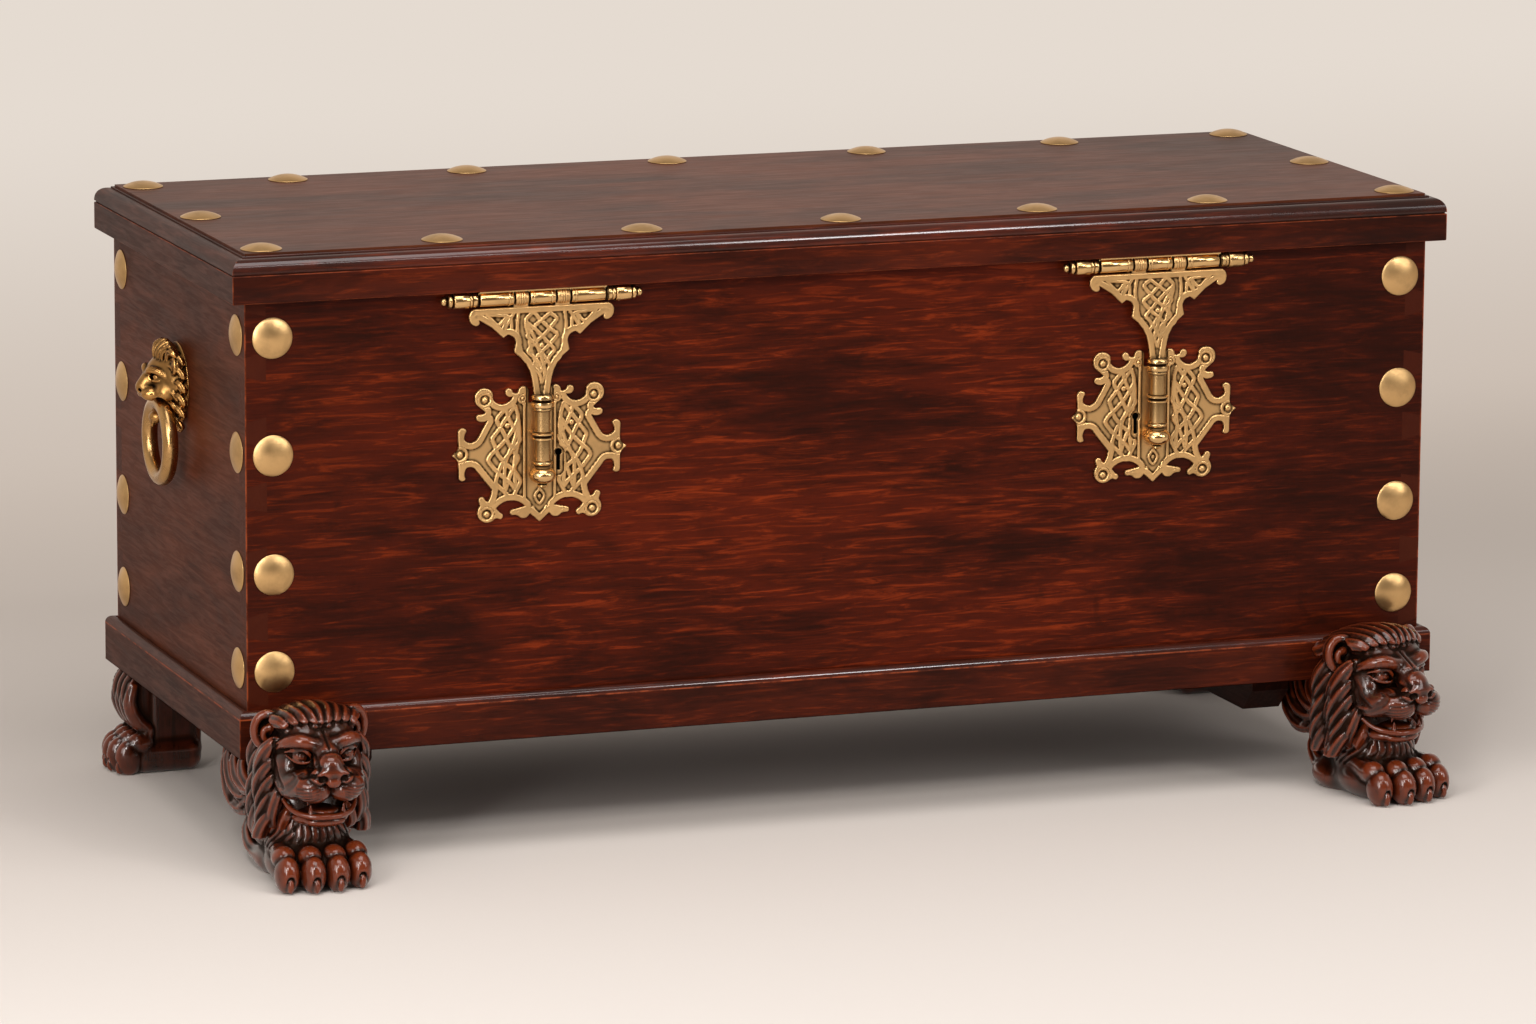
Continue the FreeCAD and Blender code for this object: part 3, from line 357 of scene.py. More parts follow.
cross_strip_wood = waxed_wood("waxed wood cross strips", 1, (38, 14, 6), (64, 27, 13), (94, 44, 22), strip_edges,
                              seed=9.4, figure=0.5, wax=0.08, wax_rough=0.22, width=1.2, rolls=roll_levels,
                              polish=0.2)
under_wood = waxed_wood("plain wood underside", 0, (40, 20, 12), (70, 36, 22), (92, 50, 30), seed=11.0, wax=0.05)
bearer_wood = waxed_wood("plain wood bearers", 1, (26, 10, 5), (50, 20, 11), (70, 30, 16), seed=12.5, wax=0.1)
# The dark tone is painted shade for the hollows; the rubbed tone is rubbed wear with a painted highlight on the high
# places.
carved_wood = carved_finish("polished carved wood", dark=(7, 2, 1), mid=(50, 16, 6), rubbed=(112, 44, 17))
stud_brass = satin_brass("satin brass studs", tone=(208, 168, 114), recess=(50, 30, 14), gloss=0.34)
cast_brass = satin_brass("satin brass castings", tone=(220, 176, 118), recess=(46, 28, 12), gloss=0.32)
turned_brass = satin_brass("rubbed turned brass", tone=(222, 180, 122), recess=(36, 20, 8), gloss=0.17)
ring_brass = satin_brass("rubbed brass rings", tone=(192, 150, 96), recess=(84, 56, 26), gloss=0.21)
mask_brass = satin_brass("dark brass masks", tone=(186, 138, 80), recess=(16, 8, 3), gloss=0.2, aged=0.8)
iron = plain_iron("dark iron")

for name in nodes:
    if name in ("front_board", "back_board"):
        dress(name, front_wood)
    elif name.endswith("end_board"):
        dress(name, end_wood)
    elif name == "lid_board":
        dress(name, lid_wood)
    elif name == "bottom_board":
        dress(name, under_wood)
    elif name.startswith("bearer"):
        dress(name, bearer_wood)
    elif name.startswith(("plinth", "lid_")):
        dress(name, long_strip_wood if name.endswith(("front", "back")) else cross_strip_wood)
    elif name.startswith("foot"):
        dress(name, carved_wood)
    elif name.startswith("studs"):
        dress(name, stud_brass)
    elif name.startswith(("lock_case", "lock_bolt", "handle_bolts", "handle_nuts", "hinge_pins")):
        dress(name, iron)
    else:
        dress(name, cast_brass)


# Shapes carried along lines


def joined(parts):
    """Several (points, faces) as one, where faces are lists of tables, with a value for each point."""
    points, tables, values, first = [], [], [], 0
    for made, faces, hollow in parts:
        points.append(np.asarray(made, dtype=float))
        values.append(np.broadcast_to(np.asarray(hollow, dtype=float), (len(made),)))
        tables += [table + first for table in (faces if isinstance(faces, list) else [faces])]
        first += len(made)
    return np.concatenate(points), tables, np.concatenate(values)


def revolved(profile, foot, axis, sides=40, hollow=0.0):
    """A turned piece: each (along, radius) of the profile carried round the axis, with closed ends."""
    profile = np.asarray(profile, dtype=float)
    axis = np.asarray(axis, dtype=float)
    side = np.array([0.0, 0.0, 1.0]) if abs(axis[2]) < 0.5 else np.array([1.0, 0.0, 0.0])
    other = np.cross(axis, side)
    angle = np.linspace(0, 2 * np.pi, sides, endpoint=False)
    around = np.cos(angle)[:, None] * side + np.sin(angle)[:, None] * other
    points = (np.asarray(foot) + profile[:, None, 0:1] * axis + profile[:, None, 1:2] * around).reshape(-1, 3)
    last = (len(profile) - 1) * sides
    caps = [np.arange(sides)[None, ::-1], last + np.arange(sides)[None, :]]
    value = np.repeat(np.broadcast_to(np.asarray(hollow, dtype=float), (len(profile),)), sides)
    return points, [grid_faces(len(profile), sides)] + caps, value


def slab(x, y, z):
    """A block between pairs of planes: the eight corners of three ranges."""
    points = np.array([[a, b, c] for a in x for b in y for c in z], dtype=float)
    faces = np.array([[0, 1, 3, 2], [4, 6, 7, 5], [0, 4, 5, 1], [2, 3, 7, 6], [0, 2, 6, 4], [1, 5, 7, 3]])
    return points, faces, 0.0


def arcs(corners):
    """A closed line of (across, up) points from (across, up, bulge) corners.

    The bulge is the sagitta over half the chord of the arc to the next corner, and is positive where the
    arc swells to the left of the way it runs.
    """
    fineness = math.radians(12)
    points = []
    for (x0, z0, bulge), (x1, z1, _) in zip(corners, corners[1:] + corners[:1]):
        sweep = 4 * math.atan(abs(bulge))
        steps = max(1, round(sweep / fineness))
        if steps < 2:
            points.append(np.array([[x0, z0]]))
            continue
        half_chord = math.hypot(x1 - x0, z1 - z0) / 2
        radius = half_chord / math.sin(sweep / 2)
        sign = math.copysign(1, bulge)
        drop = radius * math.cos(sweep / 2)
        out_x, out_z = -(z1 - z0) / (2 * half_chord), (x1 - x0) / (2 * half_chord)
        centre_x = (x0 + x1) / 2 - sign * out_x * drop
        centre_z = (z0 + z1) / 2 - sign * out_z * drop
        angle = math.atan2(z0 - centre_z, x0 - centre_x) - sign * sweep * np.arange(steps) / steps
        points.append(np.stack([centre_x + radius * np.cos(angle), centre_z + radius * np.sin(angle)], axis=1))
    return np.concatenate(points)


def both_halves(right):
    """A closed outline from its right half, which starts and ends on the middle line."""
    left = right[::-1] * np.array([-1.0, 1.0])
    return np.concatenate([right, left[(np.abs(left[:, 0]) > 0.01)]])


def evened(line, gap):
    """The same closed line with its points an even distance apart."""
    whole = np.concatenate([line, line[:1]])
    length = np.concatenate([[0], np.cumsum(np.linalg.norm(np.diff(whole, axis=0), axis=1))])
    at = np.linspace(0, length[-1], max(4, int(length[-1] / gap)), endpoint=False)
    return np.stack([np.interp(at, length, whole[:, i]) for i in range(2)], axis=1)


def woven(columns, rows, place):
    """Lines that run on the slopes of a lattice, bounce off its sides and pass over and under in turn.

    A line goes one cell across and one cell up at each step. At a crossing its lift is plus or minus by
    the turn of its column and the way it slopes, and at a bounce it is nought. Place maps (across, up)
    shares of the lattice to millimetres. Each closed line comes back with the lift of its points.
    """
    over, fine = 0.35, 9
    found = []
    left = {(x, z, dx, dz) for x in range(columns + 1) for z in range(rows + 1) if (x + z) % 2 for dx in (-1, 1)
            for dz in (-1, 1) if 0 <= x + dx <= columns and 0 <= z + dz <= rows}
    for start in sorted(left):
        if start not in left:
            continue
        x, z, dx, dz = start
        line, lifts = [], []
        while (x, z, dx, dz) in left:
            left.discard((x, z, dx, dz))
            left.discard((x + dx, z + dz, -dx, -dz))
            edge = x in (0, columns) or z in (0, rows)
            line.append((x, z))
            lifts.append(0.0 if edge else dx * dz * (1 if x % 2 else -1))
            x, z = x + dx, z + dz
            dx = -dx if not 0 <= x + dx <= columns else dx
            dz = -dz if not 0 <= z + dz <= rows else dz
        line = np.array(line, dtype=float)
        at = np.arange(len(line) * fine) / fine
        index = np.arange(len(line) + 1)
        closed = np.concatenate([line, line[:1]])
        smooth = np.stack([np.interp(at, index, closed[:, i]) for i in range(2)], axis=1)
        lift = np.interp(at, index, np.array(lifts + lifts[:1]))
        for _ in range(fine // 2):
            smooth = 0.5 * smooth + 0.25 * (np.roll(smooth, 1, axis=0) + np.roll(smooth, -1, axis=0))
            lift = 0.5 * lift + 0.25 * (np.roll(lift, 1) + np.roll(lift, -1))
        mapped = place(smooth[:, 0] / columns, smooth[:, 1] / rows)
        found.append((np.concatenate([mapped, mapped[:1]]), over * np.append(lift, lift[0])))
    return found


def outside(outline, x, z):
    """How far places are outside a closed outline, below nought inside it.

    It is the least distance to the outline's straight parts, with its sign from the count of parts
    that a level line from the place crosses.
    """
    best = np.full(x.shape, 1e9)
    inside = np.zeros(x.shape, dtype=bool)
    for (x0, z0), (x1, z1) in zip(outline, np.roll(outline, -1, axis=0)):
        run_x, run_z = x1 - x0, z1 - z0
        t = np.clip(((x - x0) * run_x + (z - z0) * run_z) / (run_x ** 2 + run_z ** 2 + 1e-12), 0, 1)
        best = np.minimum(best, (x - x0 - t * run_x) ** 2 + (z - z0 - t * run_z) ** 2)
        if z0 != z1:
            inside ^= ((z0 > z) != (z1 > z)) & (x < x0 + (z - z0) * run_x / run_z)
    return np.where(inside, -1.0, 1.0) * np.sqrt(best)


class Relief:
    """A cast plate: a height over its flat ground on an even lattice of (across, up) millimetres."""

    def __init__(self, outline):
        step, room = 0.68, 2.5
        low, high = outline.min(axis=0) - room, outline.max(axis=0) + room
        self.low, self.high, self.step = low, high, step
        lines = [low[i] + step * np.arange(int(np.ceil((high[i] - low[i]) / step)) + 1) for i in range(2)]
        self.x, self.z = np.meshgrid(lines[0], lines[1], indexing="ij")
        self.rim = outside(outline, self.x, self.z)
        self.height = np.zeros(self.x.shape)

    def border(self, width, height):
        """A raised band inside the rim: it rises in a quarter round, runs level and falls in another."""
        depth = -self.rim
        rise = np.clip(depth / 1.6, 0, 1)
        fall = np.clip((width - depth) / 1.5, 0, 1)
        band = height * np.sqrt(rise * (2 - rise)) * np.sqrt(fall * (2 - fall) + 1e-9)
        self.height = np.maximum(self.height, band)

    def strand(self, path, half_width, height, lift=0.0):
        """A raised strand: its height and lift, times one less the square of the distance over its half width."""
        path = np.asarray(path, dtype=float)
        lifts = np.broadcast_to(np.asarray(lift, dtype=float), (len(path),))
        cuts = []
        for i in range(2):
            first = int((path[:, i].min() - half_width - self.low[i]) / self.step)
            last = int((path[:, i].max() + half_width - self.low[i]) / self.step) + 2
            cuts.append(slice(max(first, 0), max(last, 0)))
        cuts = tuple(cuts)
        x, z = self.x[cuts], self.z[cuts]
        best = np.full(x.shape, 1e9)
        value = np.zeros(x.shape)
        for a, b, first, last in zip(path, path[1:], lifts, lifts[1:]):
            run = b - a
            t = np.clip(((x - a[0]) * run[0] + (z - a[1]) * run[1]) / (run @ run + 1e-9), 0, 1)
            gap = (x - a[0] - t * run[0]) ** 2 + (z - a[1] - t * run[1]) ** 2
            closer = gap < best
            best = np.where(closer, gap, best)
            value = np.where(closer, first + (last - first) * t, value)
        raised = (height + value) * np.clip(1 - (best / half_width ** 2) ** 1.8, 0, 1)
        self.height[cuts] = np.maximum(self.height[cuts], raised)

    def rivet(self, x, z, radius, height, ring=0.0):
        """A dome, with a raised ring round it in a sunk ground."""
        away = np.hypot(self.x - x, self.z - z)
        if ring:
            self.height = np.where(away < ring + 1.4, np.minimum(self.height, 0.25), self.height)
            band = np.clip(1 - ((away - ring) / 1.7) ** 2, 0, 1) * 1.3
            self.height = np.maximum(self.height, band)
        self.height = np.maximum(self.height, height * np.sqrt(np.clip(1 - (away / radius) ** 2, 0, 1)))

    def cast(self, ground, holes, extra=None):
        """The plate as a closed surface, with Y out from its flat back, and a dark value in its hollows.

        It is where the greatest of these is nought: the place above the ground and its relief, the
        place behind the back, the distance outside the rim, and the depth inside each hole.
        """
        clay = Carving((self.low[0], -1.2, self.low[1]), (self.high[0], ground + 3.4, self.high[1]),
                       (self.step, 0.4, self.step))
        y = clay.everywhere()[1]
        top = ground + self.height
        rim = self.rim if extra is None else np.minimum(self.rim, extra(self.x, self.z))
        for hole in holes:
            rim = np.maximum(rim, -hole(self.x, self.z))
        count = clay.field.shape
        rim, top = rim[:count[0], :count[2]], top[:count[0], :count[2]]
        clay.field = np.maximum(np.maximum(y - top[:, None, :], -y), rim[:, None, :]).astype(np.float32)
        points, faces = clay.surface()
        points = eased(points, faces, 3)
        soft = self.height
        for _ in range(10):
            near = sum(np.roll(soft, way, axis) for way in (-1, 1) for axis in (0, 1))
            soft = 0.5 * soft + 0.125 * near
        crease = np.clip((soft - self.height) / 0.3, 0, 1)
        dark = np.clip(0.3 * np.clip(1 - self.height / 0.7, 0, 1) + 0.6 * crease, 0, 1)
        index = [np.clip(np.rint((points[:, 2 * i] - self.low[i]) / self.step).astype(int), 0, dark.shape[i] - 1)
                 for i in range(2)]
        return points, faces, softened(dark[index[0], index[1]], *neighbours(points, faces))


def set_out(parts, x, mirror):
    """Parts in millimetres moved across to their place in metres, and turned over for the other side."""
    points, tables, values = joined(parts)
    if mirror:
        points = points * np.array([-1.0, 1.0, 1.0])
        tables = [table[:, ::-1] for table in tables]
    return (points + np.array([x, 0, 0])) * MM, tables, values


# Mouldings and edges of the case and the lid


def rounded(corners, radii, steps=4):
    """An open run of (out, up) corners with each one rounded by its radius."""
    points = []
    for index, ((x, z), radius) in enumerate(zip(corners, radii)):
        if radius == 0:
            points.append((x, z))
            continue
        before = np.array(corners[index - 1], dtype=float) - (x, z)
        after = np.array(corners[(index + 1) % len(corners)], dtype=float) - (x, z)
        before *= radius / np.linalg.norm(before)
        after *= radius / np.linalg.norm(after)
        for t in np.linspace(0, 1, steps):
            points.append(tuple(np.array([x, z]) + before * (1 - t) ** 2 + after * t ** 2))
    return points


def mitred(name, section, half_x, half_y, width, side, body, node, slot, material):
    """A strip of a frame: its (out, up) section carried from mitre to mitre, with closed ends."""
    section = np.array(section, dtype=float)
    lengthwise = side in ("front", "back")
    sign = -1 if side in ("front", "left") else 1
    run = (half_x if lengthwise else half_y) - width + section[:, 0]
    place = sign * ((half_y if lengthwise else half_x) - width + section[:, 0])
    along = np.array([[-1.0], [1.0]]) * run
    across = np.broadcast_to(place, along.shape)
    up = np.broadcast_to(section[:, 1], along.shape)
    x, y = (along, across) if lengthwise else (across, along)
    points = np.stack([x, y + middle_y, up], axis=2).reshape(-1, 3) * MM
    count = len(section)
    ends = np.arange(count)[None, :]
    made = piece(name, points, [grid_faces(2, count), ends[:, ::-1], count + ends], body, node)
    face_out(made)
    dress(made, material)


def face_out(made):
    """Turn the faces of a closed piece outwards."""
    work = bmesh.new()
    work.from_mesh(made.data)
    bmesh.ops.recalc_face_normals(work, faces=work.faces)
    work.to_mesh(made.data)
    work.free()


def frame_of_strips():
    """The base moulding, the lid's rim and the rounded moulding on it, each in four mitred strips."""
    turn = np.linspace(0, np.pi / 2, 9)
    bead = [(0.05, case_low)] + rounded([(10, case_low), (10, plinth_shoulder)], [1.2, 0])[:4]
    bead += list(zip(3 + 7 * np.cos(turn), plinth_shoulder + 7 * np.sin(turn)))
    bead += [(2.2, plinth_shoulder + 6.9), (1.2, plinth_shoulder + 5.8), (0.05, plinth_shoulder + 5.8)]
    rim = rounded([(0, rim_low), (35, rim_low), (35, rim_top), (0, rim_top)], [0, 1.6, 1.2, 0], 5)
    turn = np.linspace(0, np.pi / 2, 14)
    roll = [(0, rim_top), (14.5, rim_top), (14.5, rim_top + 1.1)]
    roll += list(zip(3.9 + 12.1 * np.cos(turn) ** 0.9, rim_top + 1.5 + 13 * np.sin(turn) ** 0.9))
    roll += [(3.0, roll_top - 1.5), (3.0, roll_top - 0.4), (2.6, roll_top), (0, roll_top)]
    plinth_size = (plinth_half_length, plinth_half_depth)
    rim_size = (rim_half_length, rim_half_depth)
    for side in ("front", "back", "left", "right"):
        wood = long_strip_wood if side in ("front", "back") else cross_strip_wood
        mitred("plinth_strip_" + side, bead, *plinth_size, 10, side, "case", "plinth_" + side, "case_wood", wood)
        mitred("rim_strip_" + side, rim, *rim_size, 35, side, "lid", "lid_rim_" + side, "lid_wood", wood)
        mitred("roll_strip_" + side, roll, *rim_size, 16, side, "lid", "lid_moulding_" + side, "lid_wood", wood)


def domed_studs(name, places, out, body, node):
    """Shallow domes with a thin turned edge: part of a sphere whose rim stands a little off the wood."""
    radius, height, lip = 19.0, 5.5, 0.7
    ball = (radius ** 2 + (height - lip) ** 2) / (2 * (height - lip))
    rim = np.linspace(radius - 0.35, 0.02, 11)
    dome = np.stack([height - ball + np.sqrt(ball ** 2 - rim ** 2), rim], axis=1)
    profile = np.vstack([[-0.3, radius - 0.5], [0.05, radius - 0.1], [lip * 0.6, radius], [lip, radius - 0.15], dome])
    dark = np.concatenate([[1.0, 0.9, 0.5, 0.15], np.zeros(len(dome))])
    parts = [revolved(profile, place, out, 48, dark) for place in places]
    points, tables, values = joined(parts)
    made = piece(name, points * MM, tables, body, node, math.radians(50), values)
    dress(made, stud_brass)
    face_out(made)


def all_studs():
    """The studs of the front, the ends and the lid, in the model's places."""
    levels = [183.0, 273.0, 383.0, 491.0]
    inset, lid_inset = 26, 38
    reach, depth = case_half_length - inset, case_half_depth - inset
    front = [(x, case_front, z) for x in (-reach, reach) for z in levels]
    domed_studs("domes_front", front, (0, -1, 0), "case", "studs_front")
    for sign, name in ((-1, "left"), (1, "right")):
        places = [(case_half_length * sign, y, z) for y in (middle_y - depth, middle_y + depth) for z in levels]
        domed_studs("domes_" + name + "_end", places, (sign, 0, 0), "case", "studs_" + name + "_end")
    reach, depth = rim_half_length - lid_inset, rim_half_depth - lid_inset
    front_shares = (-1, -0.695, -0.352, -0.004, 0.346, 0.655, 1)
    back_shares = (-1, -0.745, -0.425, -0.06, 0.31, 0.675, 1)
    top = [(share * reach, middle_y - depth, lid_top) for share in front_shares]
    top += [(share * reach, middle_y + depth, lid_top) for share in back_shares]
    top += [(-reach, middle_y, lid_top), (reach, middle_y, lid_top)]
    domed_studs("domes_lid", top, (0, 0, 1), "lid", "studs_lid")


# Hasps and lock plates, in millimetres about the hasp's own middle

hasp_x = 305.5
knuckle_line = (0, -178, 517)
knuckle_radius = 6.6
strap_back = -176.75


def eased_barrel(x0, x1):
    """One knuckle of the barrel: a short turned length that falls to a dark seam at each end."""
    radius = knuckle_radius
    profile = [(x0, radius - 2.6), (x0 + 0.2, radius - 1.9), (x0 + 0.75, radius - 0.45), (x0 + 1.3, radius),
               (x1 - 1.3, radius), (x1 - 0.75, radius - 0.45), (x1 - 0.2, radius - 1.9), (x1, radius - 2.6)]
    return revolved(profile, knuckle_line, (1, 0, 0), 40, [1, 1, 0.8, 0, 0, 0.8, 1, 1])


def barrel_rings(middle, count, pitch):
    """Small raised rings side by side on the barrel."""
    parts = []
    turn = np.linspace(0, np.pi, 7)
    for index in range(count):
        x = middle + pitch * (index - (count - 1) / 2)
        profile = np.stack([x - 0.5 * pitch * np.cos(turn), knuckle_radius + 0.6 * np.sin(turn)], axis=1)
        parts.append(revolved(profile, knuckle_line, (1, 0, 0), 40, 0.8 * (1 - np.sin(turn))))
    return parts


def hasp_leaf_parts():
    """The fixed leaf under the rim, with its webs and three knuckles."""
    parts = [slab((-61, 61), (-184, -171), (523.8, 525))]
    for x0, x1 in ((-60.85, -27.15), (-12.85, 12.85), (27.15, 60.85)):
        parts += [slab((x0, x1), (-180, -176), (519, 524.4)), eased_barrel(x0, x1)]
    for middle, pitch in ((-32, 2.2), (32, 2.2), (-8.2, 2.0), (8.8, 2.0)):
        parts += barrel_rings(middle, 1, pitch)
    return parts


def hasp_pin_parts():
    """The pin's turned ends: neck with two beads, plain cap, ring, neck and button."""
    turned = [(0.0, 0.3, 1), (0.0, 0.8, 1), (0.25, 0.86, 0.6), (0.3, 0.98, 0.3), (0.55, 1.02, 0), (0.8, 0.98, 0.3),
              (0.86, 0.84, 0.9), (0.95, 0.98, 0.3), (1.15, 1.02, 0), (1.3, 0.96, 0.4), (1.36, 0.9, 0.9),
              (1.42, 1.12, 0.3), (1.5, 1.17, 0), (3.5, 1.17, 0), (3.58, 1.12, 0.3), (3.64, 0.74, 0.9),
              (3.75, 0.74, 0.9), (3.82, 0.9, 0.4), (3.98, 1.0, 0), (4.2, 1.0, 0), (4.36, 0.9, 0.4), (4.42, 0.5, 1),
              (4.55, 0.42, 1), (4.62, 0.5, 0.6), (4.8, 0.62, 0.2), (5.02, 0.66, 0), (5.22, 0.58, 0), (5.36, 0.38, 0),
              (5.44, 0.1, 0)]
    dark = [shade for _, _, shade in turned]
    parts = [revolved([(-61, 2.6), (61, 2.6)], knuckle_line, (1, 0, 0), 16)]
    for sign in (-1, 1):
        profile = [(sign * (61.3 + a * knuckle_radius), r * knuckle_radius) for a, r, _ in turned]
        parts.append(revolved(profile, knuckle_line, (1, 0, 0), 40, dark))
    return parts


def strap_parts():
    """The pierced strap: ground, raised border, woven taper, small knots at its sides, webs and knuckles."""
    half, height, top = 69.5, 92.8, 508.8
    shares = [(0.0, 0.0, 0), (0.93, 0.0, 0.4), (1.0, 0.1, 0.3), (0.93, 0.165, 0.9), (0.87, 0.11, -0.1),
              (0.53, 0.305, 0), (0.475, 0.27, -0.4), (0.36, 0.355, 0), (0.385, 0.45, -0.1), (0.215, 0.575, -0.1),
              (0.137, 0.72, 0), (0.105, 0.89, 0), (0.105, 1.0, 0), (0.0, 1.0, 0)]
    outline = both_halves(arcs([(x * half, top - z * height, b) for x, z, b in shares]))
    relief = Relief(evened(outline, 0.9))
    relief.border(6.0, 1.3)

    def taper(across, up):
        """Shares to the narrowing middle panel, a little swayed."""
        z = 503.0 - 66 * up
        wide = np.interp(z, [437, 452, 470, 503], [2.0, 8.0, 14.5, 16.5])
        return np.stack([(2 * across - 1) * wide + 0.6 * np.sin(z / 5), z + 0.8 * np.sin(7 * across)], axis=1)

    for path, lift in woven(4, 9, taper):
        relief.strand(path, 1.9, 1.15, lift)
    for sign in (-1, 1):
        knots = [[(53, 503), (45, 495), (38, 488), (31, 482), (29, 490), (31, 500), (42, 502), (53, 503)],
                 [(50, 499), (41, 493), (33, 501), (37, 488), (27, 503)],
                 [(22, 505), (23.5, 490), (21, 474), (17, 458)],
                 [(63, 505.5), (66.8, 502.5), (65.8, 498.2), (63.0, 499.0), (64.0, 501.6)]]
        for knot in knots:
            line = through([(sign * x, z) for x, z in knot], 40)
            relief.strand(line, 1.8, 1.15, 0.3 * np.sin(np.linspace(0, 9, 40)))
        relief.strand([(sign * 14, 452), (sign * 2.4, 424)], 1.2, 0.9)
    relief.rivet(0, 472, 2.3, 1.3)
    relief.rivet(0, 441, 1.7, 1.1)
    points, faces, dark = relief.cast(2.0, [], lambda x, z: np.maximum(np.abs(x) - 5, np.abs(z - 413) - 5))
    points = np.stack([points[:, 0], strap_back - points[:, 1], points[:, 2]], axis=1)
    parts = [(points, faces, dark)]
    for x0, x1 in ((-26.85, -13.15), (13.15, 26.85)):
        parts += [slab((x0, x1), (strap_back - 2.5, strap_back), (508.0, 513)), eased_barrel(x0, x1)]
    for middle in (-20, 20):
        parts += barrel_rings(middle, 3, 2.2)
    return parts


def bar_parts():
    """The turned bar, from its collar down to the ball and its button, with a flat back."""
    length, radius, top = 87.0, 7.2, 427.0
    turned = [(0.0, 0.5, 1), (0.0, 1.25, 0.5), (0.02, 1.4, 0), (0.045, 1.4, 0), (0.055, 1.12, 0.9), (0.07, 1.12, 0.9),
              (0.08, 1.42, 0.2), (0.105, 1.5, 0), (0.13, 1.42, 0.2), (0.137, 1.2, 0.8), (0.155, 1.28, 0.2),
              (0.172, 1.2, 0.8), (0.178, 1.0, 0.5), (0.39, 1.0, 0.4), (0.395, 1.2, 0.9), (0.41, 1.42, 0.1),
              (0.425, 1.42, 0.1), (0.435, 1.15, 0.9), (0.45, 1.15, 0.9), (0.458, 1.38, 0.1), (0.475, 1.38, 0.1),
              (0.485, 1.03, 0.6), (0.70, 1.03, 0.4), (0.708, 1.2, 0.8), (0.725, 1.34, 0.1), (0.74, 1.3, 0.2),
              (0.752, 1.05, 0.9)]
    profile = [(a * length, r * radius) for a, r, _ in turned]
    dark = [shade for _, _, shade in turned]
    turn = np.linspace(0.62, np.pi - 0.42, 13)
    profile += list(zip(74.8 - 6.8 * np.cos(turn) * 1.25, 12.5 * np.sin(turn)))
    dark += [0.5, 0.1] + [0] * 9 + [0.2, 0.7]
    profile += [(82.2, 3.0), (83.0, 3.0), (84.0, 4.6), (85.2, 4.7), (86.3, 3.2), (87.0, 0.9)]
    dark += [1, 1, 0.3, 0, 0, 0]
    points, tables, value = revolved(profile, (0, -181, top), (0, 0, -1), 44, dark)
    points[:, 1] = np.minimum(points[:, 1], -172.8)
    return [(points, tables, value)]


